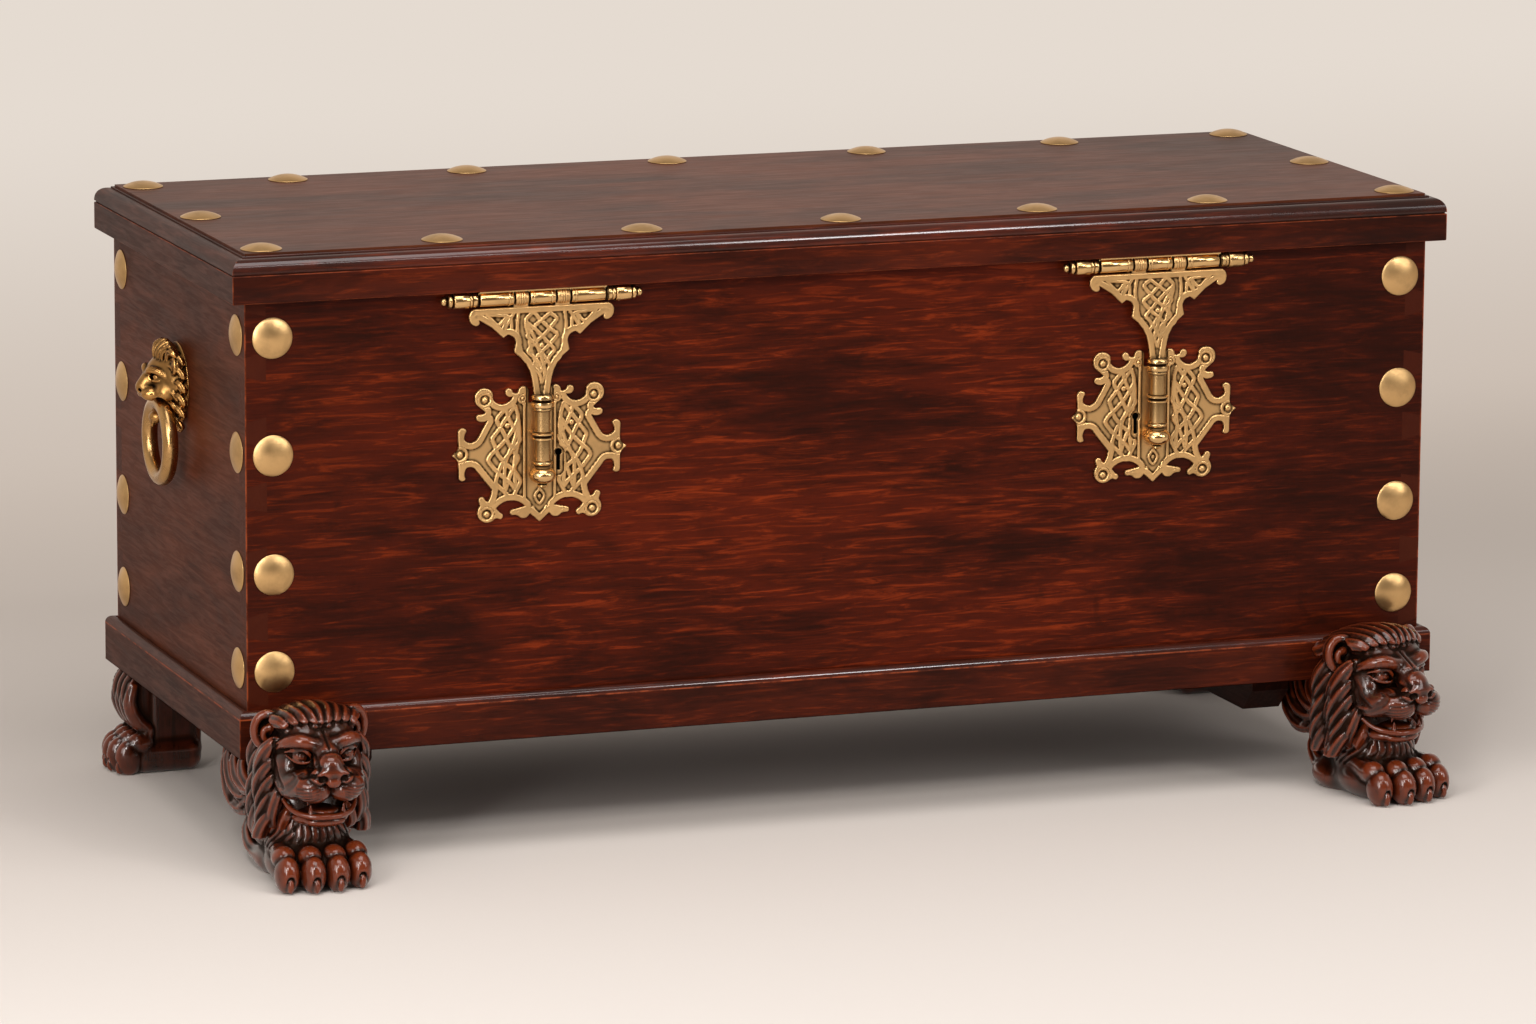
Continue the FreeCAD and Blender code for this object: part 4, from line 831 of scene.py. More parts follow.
def lock_plate_parts():
    """The scrolled plate: ground, raised border, ringed rivets, the channel behind the bar, woven sides, keyhole."""
    half, height, low = 84.5, 129.0, 307.0
    shares = [(0.0, 0.863, 0), (0.124, 0.863, 0), (0.124, 0.945, 1.1), (0.243, 0.94, -0.3), (0.308, 0.948, 1.0),
              (0.391, 0.948, 0.6), (0.302, 0.917, -0.6), (0.527, 0.898, 0), (0.535, 0.952, 1.05), (0.716, 0.867, 0),
              (0.615, 0.812, -0.3), (0.675, 0.797, 1.0), (0.698, 0.75, 0.3), (0.592, 0.754, 0), (0.704, 0.626, -0.55),
              (0.858, 0.626, -0.2), (0.828, 0.684, 0.9), (0.929, 0.669, 0), (0.923, 0.557, -0.15), (1.0, 0.512, -0.15),
              (0.927, 0.464, 0), (0.923, 0.363, 0.9), (0.84, 0.34, -0.3), (0.834, 0.417, -0.45), (0.722, 0.394, 0),
              (0.544, 0.25, -0.1), (0.586, 0.165, -0.3), (0.633, 0.196, 0.9), (0.692, 0.165, 0), (0.68, 0.138, 1.0),
              (0.515, 0.037, -0.3), (0.456, 0.033, 1.0), (0.45, 0.08, 0), (0.497, 0.115, -0.45), (0.166, 0.119, 0),
              (0.308, 0.099, 1.0), (0.308, 0.057, -0.2), (0.243, 0.049, 0.6), (0.112, 0.064, 0), (0.059, 0.033, 0),
              (0.0, 0.0, 0)]
    outline = both_halves(arcs([(x * half, low + z * height, b) for x, z, b in shares]))
    relief = Relief(evened(outline, 0.9))
    relief.border(6.2, 1.3)
    key_x, key_z = 18.5, 371.0

    def panel(across, up):
        """Shares to a side panel that widens to its middle, a little swayed."""
        inner = 18.5
        z = 416 - 90 * up
        wide = np.interp(z, [326, 345, 372, 400, 416], [35, 43, 51, 43, 36])
        x = inner + across * (wide - inner) + 0.9 * np.sin(z / 7)
        return np.stack([x, z + 1.2 * np.sin(5 * across + z / 11)], axis=1)

    for path, lift in woven(4, 9, panel):
        relief.strand(path, 2.2, 1.2, lift)
        relief.strand(path * np.array([-1.0, 1.0]), 2.2, 1.2, lift)
    for sign in (-1, 1):
        for x, z, size, ring in ((52.5, 423, 3.0, 6.2), (76.5, 373.5, 3.0, 6.4), (51, 316.5, 3.0, 6.2)):
            relief.rivet(sign * x, z, size, 2.1, ring)
        relief.rivet(sign * 16.4, 422.5, 1.9, 1.9, 3.4)
        relief.rivet(sign * 21.5, 317, 1.6, 1.9)
        for z in (398, 347):
            relief.rivet(sign * 31, z, 2.6, 1.7)
    round_key = np.hypot(relief.x - key_x, relief.z - key_z)
    near_key = np.minimum(round_key, np.hypot(relief.x - key_x, relief.z - np.clip(relief.z, key_z - 17, key_z)) + 0.6)
    relief.height = np.where(near_key < 5.4, 0.0, relief.height)
    channel = np.clip((np.abs(relief.x) - 12.9) / 0.5, 0, 1)
    relief.height *= np.where(relief.z > 338, channel, 1.0)
    for sign in (-1, 1):
        relief.strand([(sign * 14.6, 416), (sign * 14.6, 326)], 1.6, 1.15)
        relief.strand([(sign * 1.0, 308.5), (sign * 6.5, 321)], 1.3, 0.9)
    relief.height = np.where(round_key < 4.6, 0.0, relief.height)
    relief.strand(through([(0, 338), (4.4, 331), (0, 324), (-4.4, 331), (0, 338)], 26), 1.3, 1.1)
    relief.rivet(0, 331, 1.5, 0.8)
    holes = [lambda x, z: np.hypot(x - key_x, z - key_z) - 3.3,
             lambda x, z: np.maximum(np.abs(x - key_x) - 1.5, np.abs(z - key_z + 8.5) - 8.5),
             lambda x, z: np.maximum(np.abs(x) - 2.6, 371.4 - z)]
    points, faces, dark = relief.cast(2.3, holes)
    return [(np.stack([points[:, 0], case_front - points[:, 1], points[:, 2]], axis=1), faces, dark)]


def both_hasps():
    """The pair of hasps and lock plates, each piece on its own body."""
    for sign, name in ((-1, "left"), (1, "right")):
        kinds = [("barrel_leaf", hasp_leaf_parts, "lid", "hasp_leaf_"),
                 ("barrel_pin", hasp_pin_parts, "lid", "hasp_pin_"),
                 ("woven_strap", strap_parts, "hasp_" + name, "hasp_strap_"),
                 ("turned_bar", bar_parts, "hasp_" + name, "hasp_bar_"),
                 ("scrolled_plate", lock_plate_parts, "case", "lock_plate_")]
        for kind, parts, body, node in kinds:
            points, tables, values = set_out(parts(), sign * hasp_x, mirror=sign > 0)
            made = piece(kind + "_" + name, points, tables, body, node + name, math.radians(50), values)
            face_out(made)
            dress(made, cast_brass if kind in ("woven_strap", "scrolled_plate") else turned_brass)


# Ring handles

ring_wire = 7.5
ring_radius = 35.3
ring_out = 18
ring_line = 396.7


def ring_handle(sign, name):
    """The plain ring: a round wire carried round a circle."""
    sides, rounds = 24, 96
    turn = np.linspace(0, 2 * np.pi, rounds, endpoint=False)[:, None]
    angle = np.linspace(0, 2 * np.pi, sides, endpoint=False)
    out = ring_radius + ring_wire * np.cos(angle)
    x = np.broadcast_to(sign * (case_half_length + ring_out) + ring_wire * np.sin(angle), (rounds, sides))
    points = np.stack([x, middle_y + out * np.sin(turn), ring_line - ring_radius + out * np.cos(turn)], axis=2)
    made = piece("ring_" + name, points.reshape(-1, 3) * MM, grid_faces(rounds + 1, sides) % (rounds * sides),
                 "ring_" + name, "handle_ring_" + name, math.radians(60), np.zeros(rounds * sides))
    face_out(made)
    dress(made, ring_brass)


def lion_mask(sign, name):
    """The lion mask with the ring in its mouth: X along the wall, Y out from it, Z above the ring's line."""
    clay = Carving((-46, -1, -26), (46, 46, 62), 0.75)
    clay.lump((0, -2, 18), (38, 9, 40), 2)
    clay.lump((0, 6, 24), (30, 18, 31), 4)
    clay.lump((0, 16, 26), (20, 14, 18), 4)
    clay.rope([(0, 18, 33), (0, 27, 24), (0, 33.5, 16)], [8.5, 8, 7.5], 4, count=8)
    clay.pair("lump", (7, 27, 10), (8.4, 10.5, 7.4), 3)
    clay.lump((0, 34.5, 15.5), (7.6, 4.4, 4.4), 1.2)
    clay.pair("lump", (4.2, 37.6, 13.6), (2.2, 2.8, 2.0), 0.6, cut=True)
    clay.rope([(0, 38, 12), (0, 36, 5)], [1.0, 1.4], 0.8, cut=True, count=4)
    clay.pair("rope", [(3, 30, 29), (9, 29, 33), (17, 22, 31), (21, 16, 26)], [3, 3.6, 3.2, 1.5], 1.5, count=10)
    clay.pair("lump", (12, 27, 26.5), (5.4, 4, 3.6), 1.0, cut=True)
    clay.pair("lump", (12, 23.4, 26.4), (4.2, 4.2, 3.6), 0.6)
    clay.pair("rope", [(6, 26, 24), (11, 27.5, 22.6), (17, 23, 23.5)], [1.0, 1.2, 0.9], 0.6, count=8)
    clay.pair("lump", (16, 16, 12), (9, 10, 10), 4)
    clay.lump((0, 20, -13), (8, 8.5, 6), 3)
    clay.rope([(0, 18, -13), (0, 23, -16), (0, 25, -21)], [5, 4, 2], 2, flutes=5, depth=0.25, outward=(0, 1, 0),
              count=8)
    clay.lump((0, 10, -8), (13, 9, 12), 3)
    clay.lump((0, 30, 0), (13, 22, 5.5), 2, cut=True)
    for index in range(7):
        u = 6.2 * (index - 3)
        drop = 0.1 * u * u / 6
        clay.rope([(u * 0.8, 21 - drop, 40), (u * 1.1, 20 - drop, 50), (u * 1.45, 12, 57 - 0.02 * u * u),
                   (u * 1.5, 6, 53 - 0.03 * u * u)],
                  [2.4, 3.6, 3.6, 2.2], 0.8, flutes=5, depth=0.3, outward=(0, 1, 0.3), count=12)
    for side in (-1, 1):
        turn = np.linspace(0, 2 * np.pi, 9)
        clay.lump((side * 27, 9, 38), (7, 5, 8), 1.0)
        ear = np.stack([side * (27 + 5.2 * np.cos(turn)), 12 + 0 * turn, 38 + 7 * np.sin(turn)], axis=1)
        clay.rope(ear, [1.6] * 9, 0.6, count=18)
        for index in range(6):
            w = 44 - 12.2 * index
            u = 35 * math.sqrt(max(0.1, 1 - ((w - 16) / 46) ** 2))
            clay.rope([(side * (u - 9), 10, w + 3), (side * (u - 2), 9, w + 4), (side * (u + 3), 5, w - 2),
                       (side * (u - 2), 5, w - 6), (side * (u - 5), 7, w - 3)],
                      [1.6, 3.0, 3.2, 2.4, 1.2], 0.6, flutes=4, depth=0.3, outward=(0, 1, 0), count=14)
        for index in range(5):
            w = 34 - 11.5 * index
            clay.rope([(side * 20, 15, w + 4), (side * 26, 12, w + 2), (side * 28, 9, w - 5)], [1.4, 2.8, 1.6], 0.6,
                      flutes=4, depth=0.3, outward=(0, 1, 0), count=10)
    # Room for the ring as it hangs, as it stands out, and on its way between the two
    x, y, z = clay.everywhere()
    wire_room = ring_wire + 0.8
    across, deep = y - ring_out, np.hypot(y - ring_out, z)
    swing = np.arctan2(across, -z)
    tube = np.abs(np.hypot(deep - ring_radius, x) - ring_radius) - wire_room
    between = np.maximum(-0.15 - swing, swing - (np.pi / 2 + 0.15)) * np.maximum(deep, 4)
    swept = np.maximum(tube, between)
    hanging = np.hypot(np.hypot(z + ring_radius, x) - ring_radius, across) - wire_room
    raised = np.hypot(np.hypot(across - ring_radius, x) - ring_radius, z) - wire_room
    clay.trim(-np.minimum(np.minimum(swept, hanging), raised))
    clay.trim(-y)
    points, faces = clay.surface()
    points = eased(points, faces, 1)
    hollow = hollows(points, faces, 5, 0.9)
    x = sign * (case_half_length + points[:, 1])
    placed = np.stack([x, middle_y + points[:, 0], ring_line + points[:, 2]], axis=1) * MM
    if sign > 0:
        faces = faces[:, ::-1]
    made = piece("mask_" + name, placed, faces, "case", "handle_mask_" + name, math.radians(180),
                 np.clip(hollow * 1.9 + 0.42, 0, 1))
    face_out(made)
    dress(made, mask_brass)


# Carving


def through(points, count):
    """A smooth line of that many points through the given ones.

    Between two given points it is the cubic whose ends have the slopes of the chords on either side.
    """
    given = np.asarray(points, dtype=float)
    padded = np.vstack([2 * given[0] - given[1], given, 2 * given[-1] - given[-2]])
    along = np.linspace(0, len(given) - 1, count)
    start = np.minimum(along.astype(int), len(given) - 2)
    t = (along - start)[:, None]
    a, b, c, d = (padded[start + k] for k in range(4))
    return 0.5 * (2 * b + (c - a) * t + (2 * a - 5 * b + 4 * c - d) * t ** 2 + (3 * b - a - 3 * c + d) * t ** 3)


class Carving:
    """A block of clay on an even lattice, in millimetres, that keeps the distance to the worked surface.

    Each lump or rope is added by a soft least of two distances, and cut away by a soft greatest. The
    surface where the distance is nought is then drawn out by one point in each cell that it crosses.
    """

    def __init__(self, low, high, step):
        self.low = np.array(low, dtype=float)
        self.step = np.broadcast_to(np.asarray(step, dtype=float), (3,))
        counts = np.ceil((np.array(high) - self.low) / self.step).astype(int) + 1
        self.lines = [self.low[i] + self.step[i] * np.arange(counts[i]) for i in range(3)]
        self.field = np.full(tuple(counts), 30.0, dtype=np.float32)
        self.turn = 0.0
        self.pivot = (0.0, 0.0)
        self.slim = 1.0
        self.aside = 0.0

    def turned_to(self, points, back=False):
        """Points swung about the upright line through the pivot and moved aside, or brought back."""
        points = np.atleast_2d(np.asarray(points, dtype=float))
        angle = -self.turn if back else self.turn
        x = (points[:, 0] - self.pivot[0] - (self.aside if back else 0.0)) * (1.0 if back else self.slim)
        y = points[:, 1] - self.pivot[1]
        across = (math.cos(angle) * x - math.sin(angle) * y) / (self.slim if back else 1.0)
        return np.stack([self.pivot[0] + across + (0.0 if back else self.aside),
                         self.pivot[1] + math.sin(angle) * x + math.cos(angle) * y, points[:, 2]], axis=1)

    def room(self, points, reach):
        """The part of the block near some points, and its places before the swing."""
        around = self.turned_to(points)
        cuts = []
        for i in range(3):
            first = int(np.floor((around[:, i].min() - reach - self.low[i]) / self.step[i]))
            last = int(np.ceil((around[:, i].max() + reach - self.low[i]) / self.step[i])) + 1
            cuts.append(slice(max(first, 0), max(min(last, len(self.lines[i])), 0)))
        x = self.lines[0][cuts[0]][:, None, None] - self.pivot[0] - self.aside
        y = self.lines[1][cuts[1]][None, :, None] - self.pivot[1]
        z = self.lines[2][cuts[2]][None, None, :]
        c, s = math.cos(self.turn), math.sin(self.turn)
        return tuple(cuts), (self.pivot[0] + (c * x + s * y) / self.slim, self.pivot[1] - s * x + c * y, z)

    def work(self, cuts, distance, blend, cut):
        """Add a distance to the block, or cut it away, with a rounded joint."""
        old = self.field[cuts]
        other = -distance if cut else distance
        sign = -1.0 if cut else 1.0
        share = np.clip(0.5 + sign * 0.5 * (old - other) / blend, 0.0, 1.0)
        self.field[cuts] = old * (1 - share) + other * share - sign * blend * share * (1 - share)

    def lump(self, centre, radii, blend=3.0, cut=False):
        """An egg with three half widths."""
        cuts, (x, y, z) = self.room(centre, max(radii) + blend + 2)
        x, y, z = x - centre[0], y - centre[1], z - centre[2]
        near = np.sqrt((x / radii[0]) ** 2 + (y / radii[1]) ** 2 + (z / radii[2]) ** 2) + 1e-6
        steep = np.sqrt((x / radii[0] ** 2) ** 2 + (y / radii[1] ** 2) ** 2 + (z / radii[2] ** 2) ** 2) + 1e-6
        self.work(cuts, near * (near - 1) / steep, blend, cut)

    def rope(self, points, radii, blend=1.5, cut=False, flutes=0, depth=0.0, outward=(0, 0, 1), count=14):
        """A tapering rope along a smooth line, whose skin may have grooves along it.

        The distance is that to the nearest of its short straight parts, less a radius that goes evenly
        between the given ones and dips with the cosine of the angle round the line.
        """
        path = through(points, count)
        sizes = np.interp(np.linspace(0, len(radii) - 1, count), np.arange(len(radii)), radii)
        cuts, (x, y, z) = self.room(path, sizes.max() + blend + 2)
        best = None
        for a, b, ra, rb in zip(path, path[1:], sizes, sizes[1:]):
            run = b - a
            px, py, pz = x - a[0], y - a[1], z - a[2]
            t = np.clip((px * run[0] + py * run[1] + pz * run[2]) / (run @ run + 1e-9), 0, 1)
            qx, qy, qz = px - t * run[0], py - t * run[1], pz - t * run[2]
            radius = ra + (rb - ra) * t
            if flutes:
                ahead = run / np.linalg.norm(run)
                up = np.array(outward, dtype=float)
                up = up - (up @ ahead) * ahead
                up /= np.linalg.norm(up) + 1e-9
                side = np.cross(ahead, up)
                angle = np.arctan2(qx * side[0] + qy * side[1] + qz * side[2], qx * up[0] + qy * up[1] + qz * up[2])
                radius = radius * (1 - depth * (0.5 - 0.5 * np.cos(flutes * angle)))
            distance = np.sqrt(qx * qx + qy * qy + qz * qz) - radius
            best = distance if best is None else np.minimum(best, distance)
        self.work(cuts, best, blend, cut)

    def pair(self, how, points, *rest, **named):
        """The same lump or rope on both sides of the middle plane."""
        for side in (-1, 1):
            both = np.array(points, dtype=float)
            both[..., 0] *= side
            settings = dict(named)
            if "outward" in settings:
                way = settings["outward"]
                settings["outward"] = (side * way[0], way[1], way[2])
            getattr(self, how)(both, *rest, **settings)

    def block(self, centre, half, round_edge, blend=3.0):
        """A box with three half widths and rounded edges."""
        cuts, places = self.room(centre, max(half) + blend + 2)
        over = [np.abs(place - c) - (h - round_edge) for place, c, h in zip(places, centre, half)]
        beyond = np.sqrt(sum(np.maximum(o, 0) ** 2 for o in over))
        within = np.minimum(np.maximum(np.maximum(over[0], over[1]), over[2]), 0)
        self.work(cuts, beyond + within - round_edge, blend, False)

    def trim(self, distance):
        """Cut the block off sharply where a distance, given at the lattice's places, is above nought."""
        self.field = np.maximum(self.field, distance.astype(np.float32))

    def everywhere(self):
        """The lattice's places, unswung."""
        return (self.lines[0][:, None, None], self.lines[1][None, :, None], self.lines[2][None, None, :])

    def surface(self):
        """Points and four-cornered faces of the surface where the distance is nought.

        Each crossed cell has a point at the mean of the crossings of its edges, and each crossed edge
        inside the block has a face between the points of its four cells.
        """
        field = self.field
        for axis in range(3):
            for edge_place in (0, -1):
                rim = tuple(edge_place if i == axis else slice(None) for i in range(3))
                field[rim] = np.maximum(field[rim], 0.5)
        inside = field < 0
        total = np.zeros(tuple(n - 1 for n in field.shape), dtype=np.int8)
        for corner in np.ndindex(2, 2, 2):
            total += inside[tuple(slice(c, n - 1 + c) for c, n in zip(corner, field.shape))]
        active = (total > 0) & (total < 8)
        cells = np.argwhere(active)
        number = np.full(active.shape, -1, dtype=np.int64)
        number[active] = np.arange(len(cells))
        place = np.zeros((len(cells), 3))
        crossings = np.zeros(len(cells))
        faces = []
        for axis in range(3):
            others = [i for i in range(3) if i != axis]
            for shift in np.ndindex(2, 2):
                start = cells.copy()
                start[:, others[0]] += shift[0]
                start[:, others[1]] += shift[1]
                end = start.copy()
                end[:, axis] += 1
                first = field[tuple(start.T)].astype(float)
                last = field[tuple(end.T)].astype(float)
                crossed = (first < 0) != (last < 0)
                share = np.where(crossed, first / np.where(crossed, first - last, 1.0), 0.0)
                point = start.astype(float)
                point[:, axis] += share
                place += point * crossed[:, None]
                crossings += crossed
            low = [slice(None)] * 3
            high = [slice(None)] * 3
            low[axis], high[axis] = slice(0, -1), slice(1, None)
            edge = inside[tuple(low)] != inside[tuple(high)]
            edge[tuple(0 if i == others[0] else slice(None) for i in range(3))] = False
            edge[tuple(0 if i == others[1] else slice(None) for i in range(3))] = False
            found = np.argwhere(edge)
            corners = []
            for back in ((1, 1), (0, 1), (0, 0), (1, 0)):
                cell = found.copy()
                cell[:, others[0]] -= back[0]
                cell[:, others[1]] -= back[1]
                corners.append(number[tuple(cell.T)])
            quads = np.stack(corners, axis=1)
            flip = inside[tuple(low)][tuple(found.T)]
            if axis == 1:
                flip = ~flip
            quads[~flip] = quads[~flip][:, ::-1]
            faces.append(quads)
        return self.low + self.step * place / crossings[:, None], np.concatenate(faces)


def neighbours(points, faces):
    """Every edge of a mesh of quads once, as pairs of point numbers, and how many edges each point has."""
    pairs = np.concatenate([faces[:, [i, (i + 1) % 4]] for i in range(4)])
    pairs.sort(axis=1)
    edges = np.unique(pairs, axis=0)
    return edges, np.bincount(edges.ravel(), minlength=len(points)).astype(float)


def averaged(values, edges, counts):
    """Each point's mean over its neighbours."""
    total = np.stack([np.bincount(edges[:, 0], values[edges[:, 1], k], len(values))
                      + np.bincount(edges[:, 1], values[edges[:, 0], k], len(values)) for k in range(values.shape[1])],
                     axis=1)
    return total / counts[:, None]


def facing(points, faces):
    """Each point's outward direction, from the faces round it weighted by their size."""
    across = np.cross(points[faces[:, 2]] - points[faces[:, 0]], points[faces[:, 3]] - points[faces[:, 1]])
    total = np.stack([sum(np.bincount(faces[:, i], across[:, k], len(points)) for i in range(4)) for k in range(3)],
                     axis=1)
    return total / (np.linalg.norm(total, axis=1, keepdims=True) + 1e-12)


def softened(value, edges, counts):
    """One value for each point, twice moved halfway to the mean of its neighbours'."""
    value = value[:, None]
    for _ in range(2):
        value = 0.5 * value + 0.5 * averaged(value, edges, counts)
    return value[:, 0]


def eased(points, faces, rounds):
    """A mesh whose points have moved halfway to the mean of their neighbours and most of the way back."""
    edges, counts = neighbours(points, faces)
    for _ in range(rounds):
        points = points + 0.5 * (averaged(points, edges, counts) - points)
        points = points - 0.52 * (averaged(points, edges, counts) - points)
    return points


def hollows(points, faces, rounds, scale):
    """How hollow the surface is at each point: how far its neighbourhood's mean stands out from it."""
    edges, counts = neighbours(points, faces)
    mean = points
    for _ in range(rounds):
        mean = averaged(mean, edges, counts)
    depth = np.einsum("ij,ij->i", mean - points, facing(points, faces))
    return np.clip(softened(depth, edges, counts) / scale, -1, 1)


def carved_hollows(points, faces):
    """Fine cuts and broad hollows of a carving together."""
    return np.clip(hollows(points, faces, 7, 0.95) + 0.7 * hollows(points, faces, 36, 4.2), -1, 1)


def scored(points, out, flat_places, lines, width, depth, allowed):
    """Points pressed inwards along the lines of a drawing laid over the surface.

    The press is the depth times one less the square of the distance over the width, squared, where the
    distance is to the nearest straight part of a line in the drawing's plane.
    """
    press = np.zeros(len(points))
    for line in lines:
        path = through(line, 5 * len(line))
        near = np.flatnonzero(allowed & (flat_places[:, 0] > path[:, 0].min() - width)
                              & (flat_places[:, 0] < path[:, 0].max() + width)
                              & (flat_places[:, 1] > path[:, 1].min() - width)
                              & (flat_places[:, 1] < path[:, 1].max() + width))
        if len(near) == 0:
            continue
        places = flat_places[near]
        best = np.full(len(near), 1e9)
        for a, b in zip(path, path[1:]):
            run = b - a
            t = np.clip(((places - a) @ run) / (run @ run + 1e-9), 0, 1)
            gap = places - a - t[:, None] * run
            best = np.minimum(best, np.einsum("ij,ij->i", gap, gap))
        dip = depth * np.clip(1 - best / width ** 2, 0, 1) ** 2
        press[near] = np.maximum(press[near], dip)
    return points - out * press[:, None]


def lion_head(clay):
    """The lion's head: mane, ears, brow, eyes, nose, muzzle and open mouth, with its nose towards +Y."""
    clay.lump((0, 20, 108), (42, 32, 52), 4)
    clay.lump((0, 38, 112), (41, 36, 45), 6)
    clay.lump((0, 50, 122), (40, 29, 30), 6)
    # Forehead, cheeks, the bridge of the nose and the brow
    clay.pair("lump", (15, 57, 138), (20, 21, 14), 4)
    clay.pair("lump", (31, 55, 108), (13, 20, 19), 6)
    clay.rope([(0, 68, 136), (0, 82, 126), (0, 95, 115)], [10, 12, 15], 5)
    clay.pair("rope", [(6, 76, 130), (13, 81, 134), (24, 79, 137), (34, 70, 135), (41, 57, 129)],
              [4.6, 6.2, 6.4, 5.2, 2.5], 4.5)
    clay.pair("lump", (9.5, 82, 133.5), (5.5, 4.5, 5), 3.5)
    # Muzzle and nose
    clay.pair("lump", (17, 83, 98), (21, 24, 14), 2.2)
    clay.pair("lump", (15.5, 95, 94), (15.5, 13, 10.6), 3)
    clay.pair("lump", (29, 67, 96), (14, 23, 14), 5)
    clay.lump((0, 102, 111.5), (18, 9.5, 8.4), 2)
    clay.pair("lump", (13, 102, 108.5), (8.2, 8.4, 7.4), 1.5)
    clay.lump((0, 108, 104.5), (7.5, 4.4, 5.5), 1.8)
    clay.pair("lump", (11, 110, 107.2), (5.0, 5.4, 3.8), 0.8, cut=True)
    clay.pair("rope", [(15, 109.5, 108.6), (20, 104, 110), (22, 96, 111)], [2.4, 2.0, 1.0], 0.8, cut=True, count=8)
    clay.rope([(0, 113, 100), (0, 111, 94), (0, 106, 85)], [1.5, 2.5, 2.0], 1.6, cut=True, count=8)
    # Mouth: the dark opening, lower jaw and lip, tongue and teeth
    clay.rope([(-33, 62, 83), (-26, 80, 81), (0, 98, 80.5), (26, 80, 81), (33, 62, 83)], [2.6, 4.6, 5.6, 4.6, 2.6], 1.0,
              cut=True, count=18)
    clay.lump((0, 71, 79), (29, 31, 8), 1.5, cut=True)
    clay.lump((0, 62, 64), (28, 26, 9), 4)
    clay.lump((0, 82, 62.5), (19, 8, 5), 3)
    clay.rope([(-37, 52, 88), (-35.5, 62, 80), (-31, 73, 73.5), (-23, 83, 70), (-11, 90, 68.6), (0, 91.5, 68.6),
               (11, 90, 68.6), (23, 83, 70), (31, 73, 73.5), (35.5, 62, 80), (37, 52, 88)],
              [1.2, 1.9, 2.3, 2.6, 2.8, 2.8, 2.8, 2.6, 2.3, 1.9, 1.2], 1.8, count=34)
    clay.lump((0, 70, 71.5), (15, 18, 4), 2)
    clay.pair("rope", [(16, 86, 70), (16.4, 87, 79.5)], [2.8, 0.8], 0.8, count=4)
    clay.pair("rope", [(19, 88, 89), (19.5, 87, 80)], [2.8, 0.8], 0.8, count=4)
    # Eyes with their lids
    clay.pair("lump", (23, 80.5, 123.5), (9.8, 7.5, 6.6), 3.0, cut=True)
    clay.pair("lump", (22.8, 74.2, 123.2), (7.6, 7.4, 6.8), 0.6)
    clay.pair("rope", [(12.5, 80.5, 119.4), (16, 81.5, 125.4), (22.6, 80.6, 129.4), (29.5, 76.4, 128.6), (36, 68, 126)],
              [1.0, 1.8, 2.0, 1.8, 0.8], 1.0)
    clay.pair("rope", [(12.5, 80.5, 119), (17, 81, 117.6), (23.5, 79.2, 117.2), (30, 75, 119.2), (35.6, 68.4, 124)],
              [0.8, 1.2, 1.4, 1.2, 0.7], 1.0)
    # Crown of combed locks
    clay.lump((0, 46, 146), (40, 24, 12), 3)
    for index in range(-4, 5):
        u = 8.6 * index
        drop = 0.3 * index ** 2
        sway = 2.2 * (1 if index > 0 else -1 if index < 0 else 0.3)
        clay.rope([(u * 0.9, 65 - drop, 144.5 - drop), (u * 0.98 - sway, 70.5 - 1.7 * drop, 150.5 - drop),
                   (u * 1.04, 61 - drop, 157.5 - 1.5 * drop), (u * 1.1 + sway, 42, 158.6 - 2.0 * drop),
                   (u * 1.14, 20, 155 - 2.2 * drop), (u * 1.14, 0, 148 - 2.3 * drop)],
                  [2.2, 4.4, 5.8, 6.8, 7.4, 7.4], 0.9, flutes=5, depth=0.17, outward=(0, 0.5, 1), count=18)
    # Ears: a deep bowl in a thick rounded rim that curls in at its foot
    for side in (-1, 1):
        turn = np.linspace(-2.5, 2.6, 11)
        clay.lump((side * 42, 27, 139), (14, 11, 17.5), 2)
        clay.lump((side * 45, 40, 140), (9.6, 12, 13.4), 1.2, cut=True)
        rim = np.stack([side * (43 + 11.8 * np.cos(turn)), 36 - 4 * np.cos(turn), 139.5 + 15.4 * np.sin(turn)], axis=1)
        clay.rope(rim, [2.8] + [4.0] * 9 + [2.6], 0.9, count=26)
        turn = np.linspace(2.6, 7.4, 10)
        curl = np.linspace(0.95, 0.2, 10)
        whorl = np.stack([side * (42.5 + 11 * curl * np.cos(turn)), 36 + 0 * turn, 138.5 + 14 * curl * np.sin(turn)],
                         axis=1)
        clay.rope(whorl, np.linspace(2.6, 3.4, 10), 0.8, count=24)
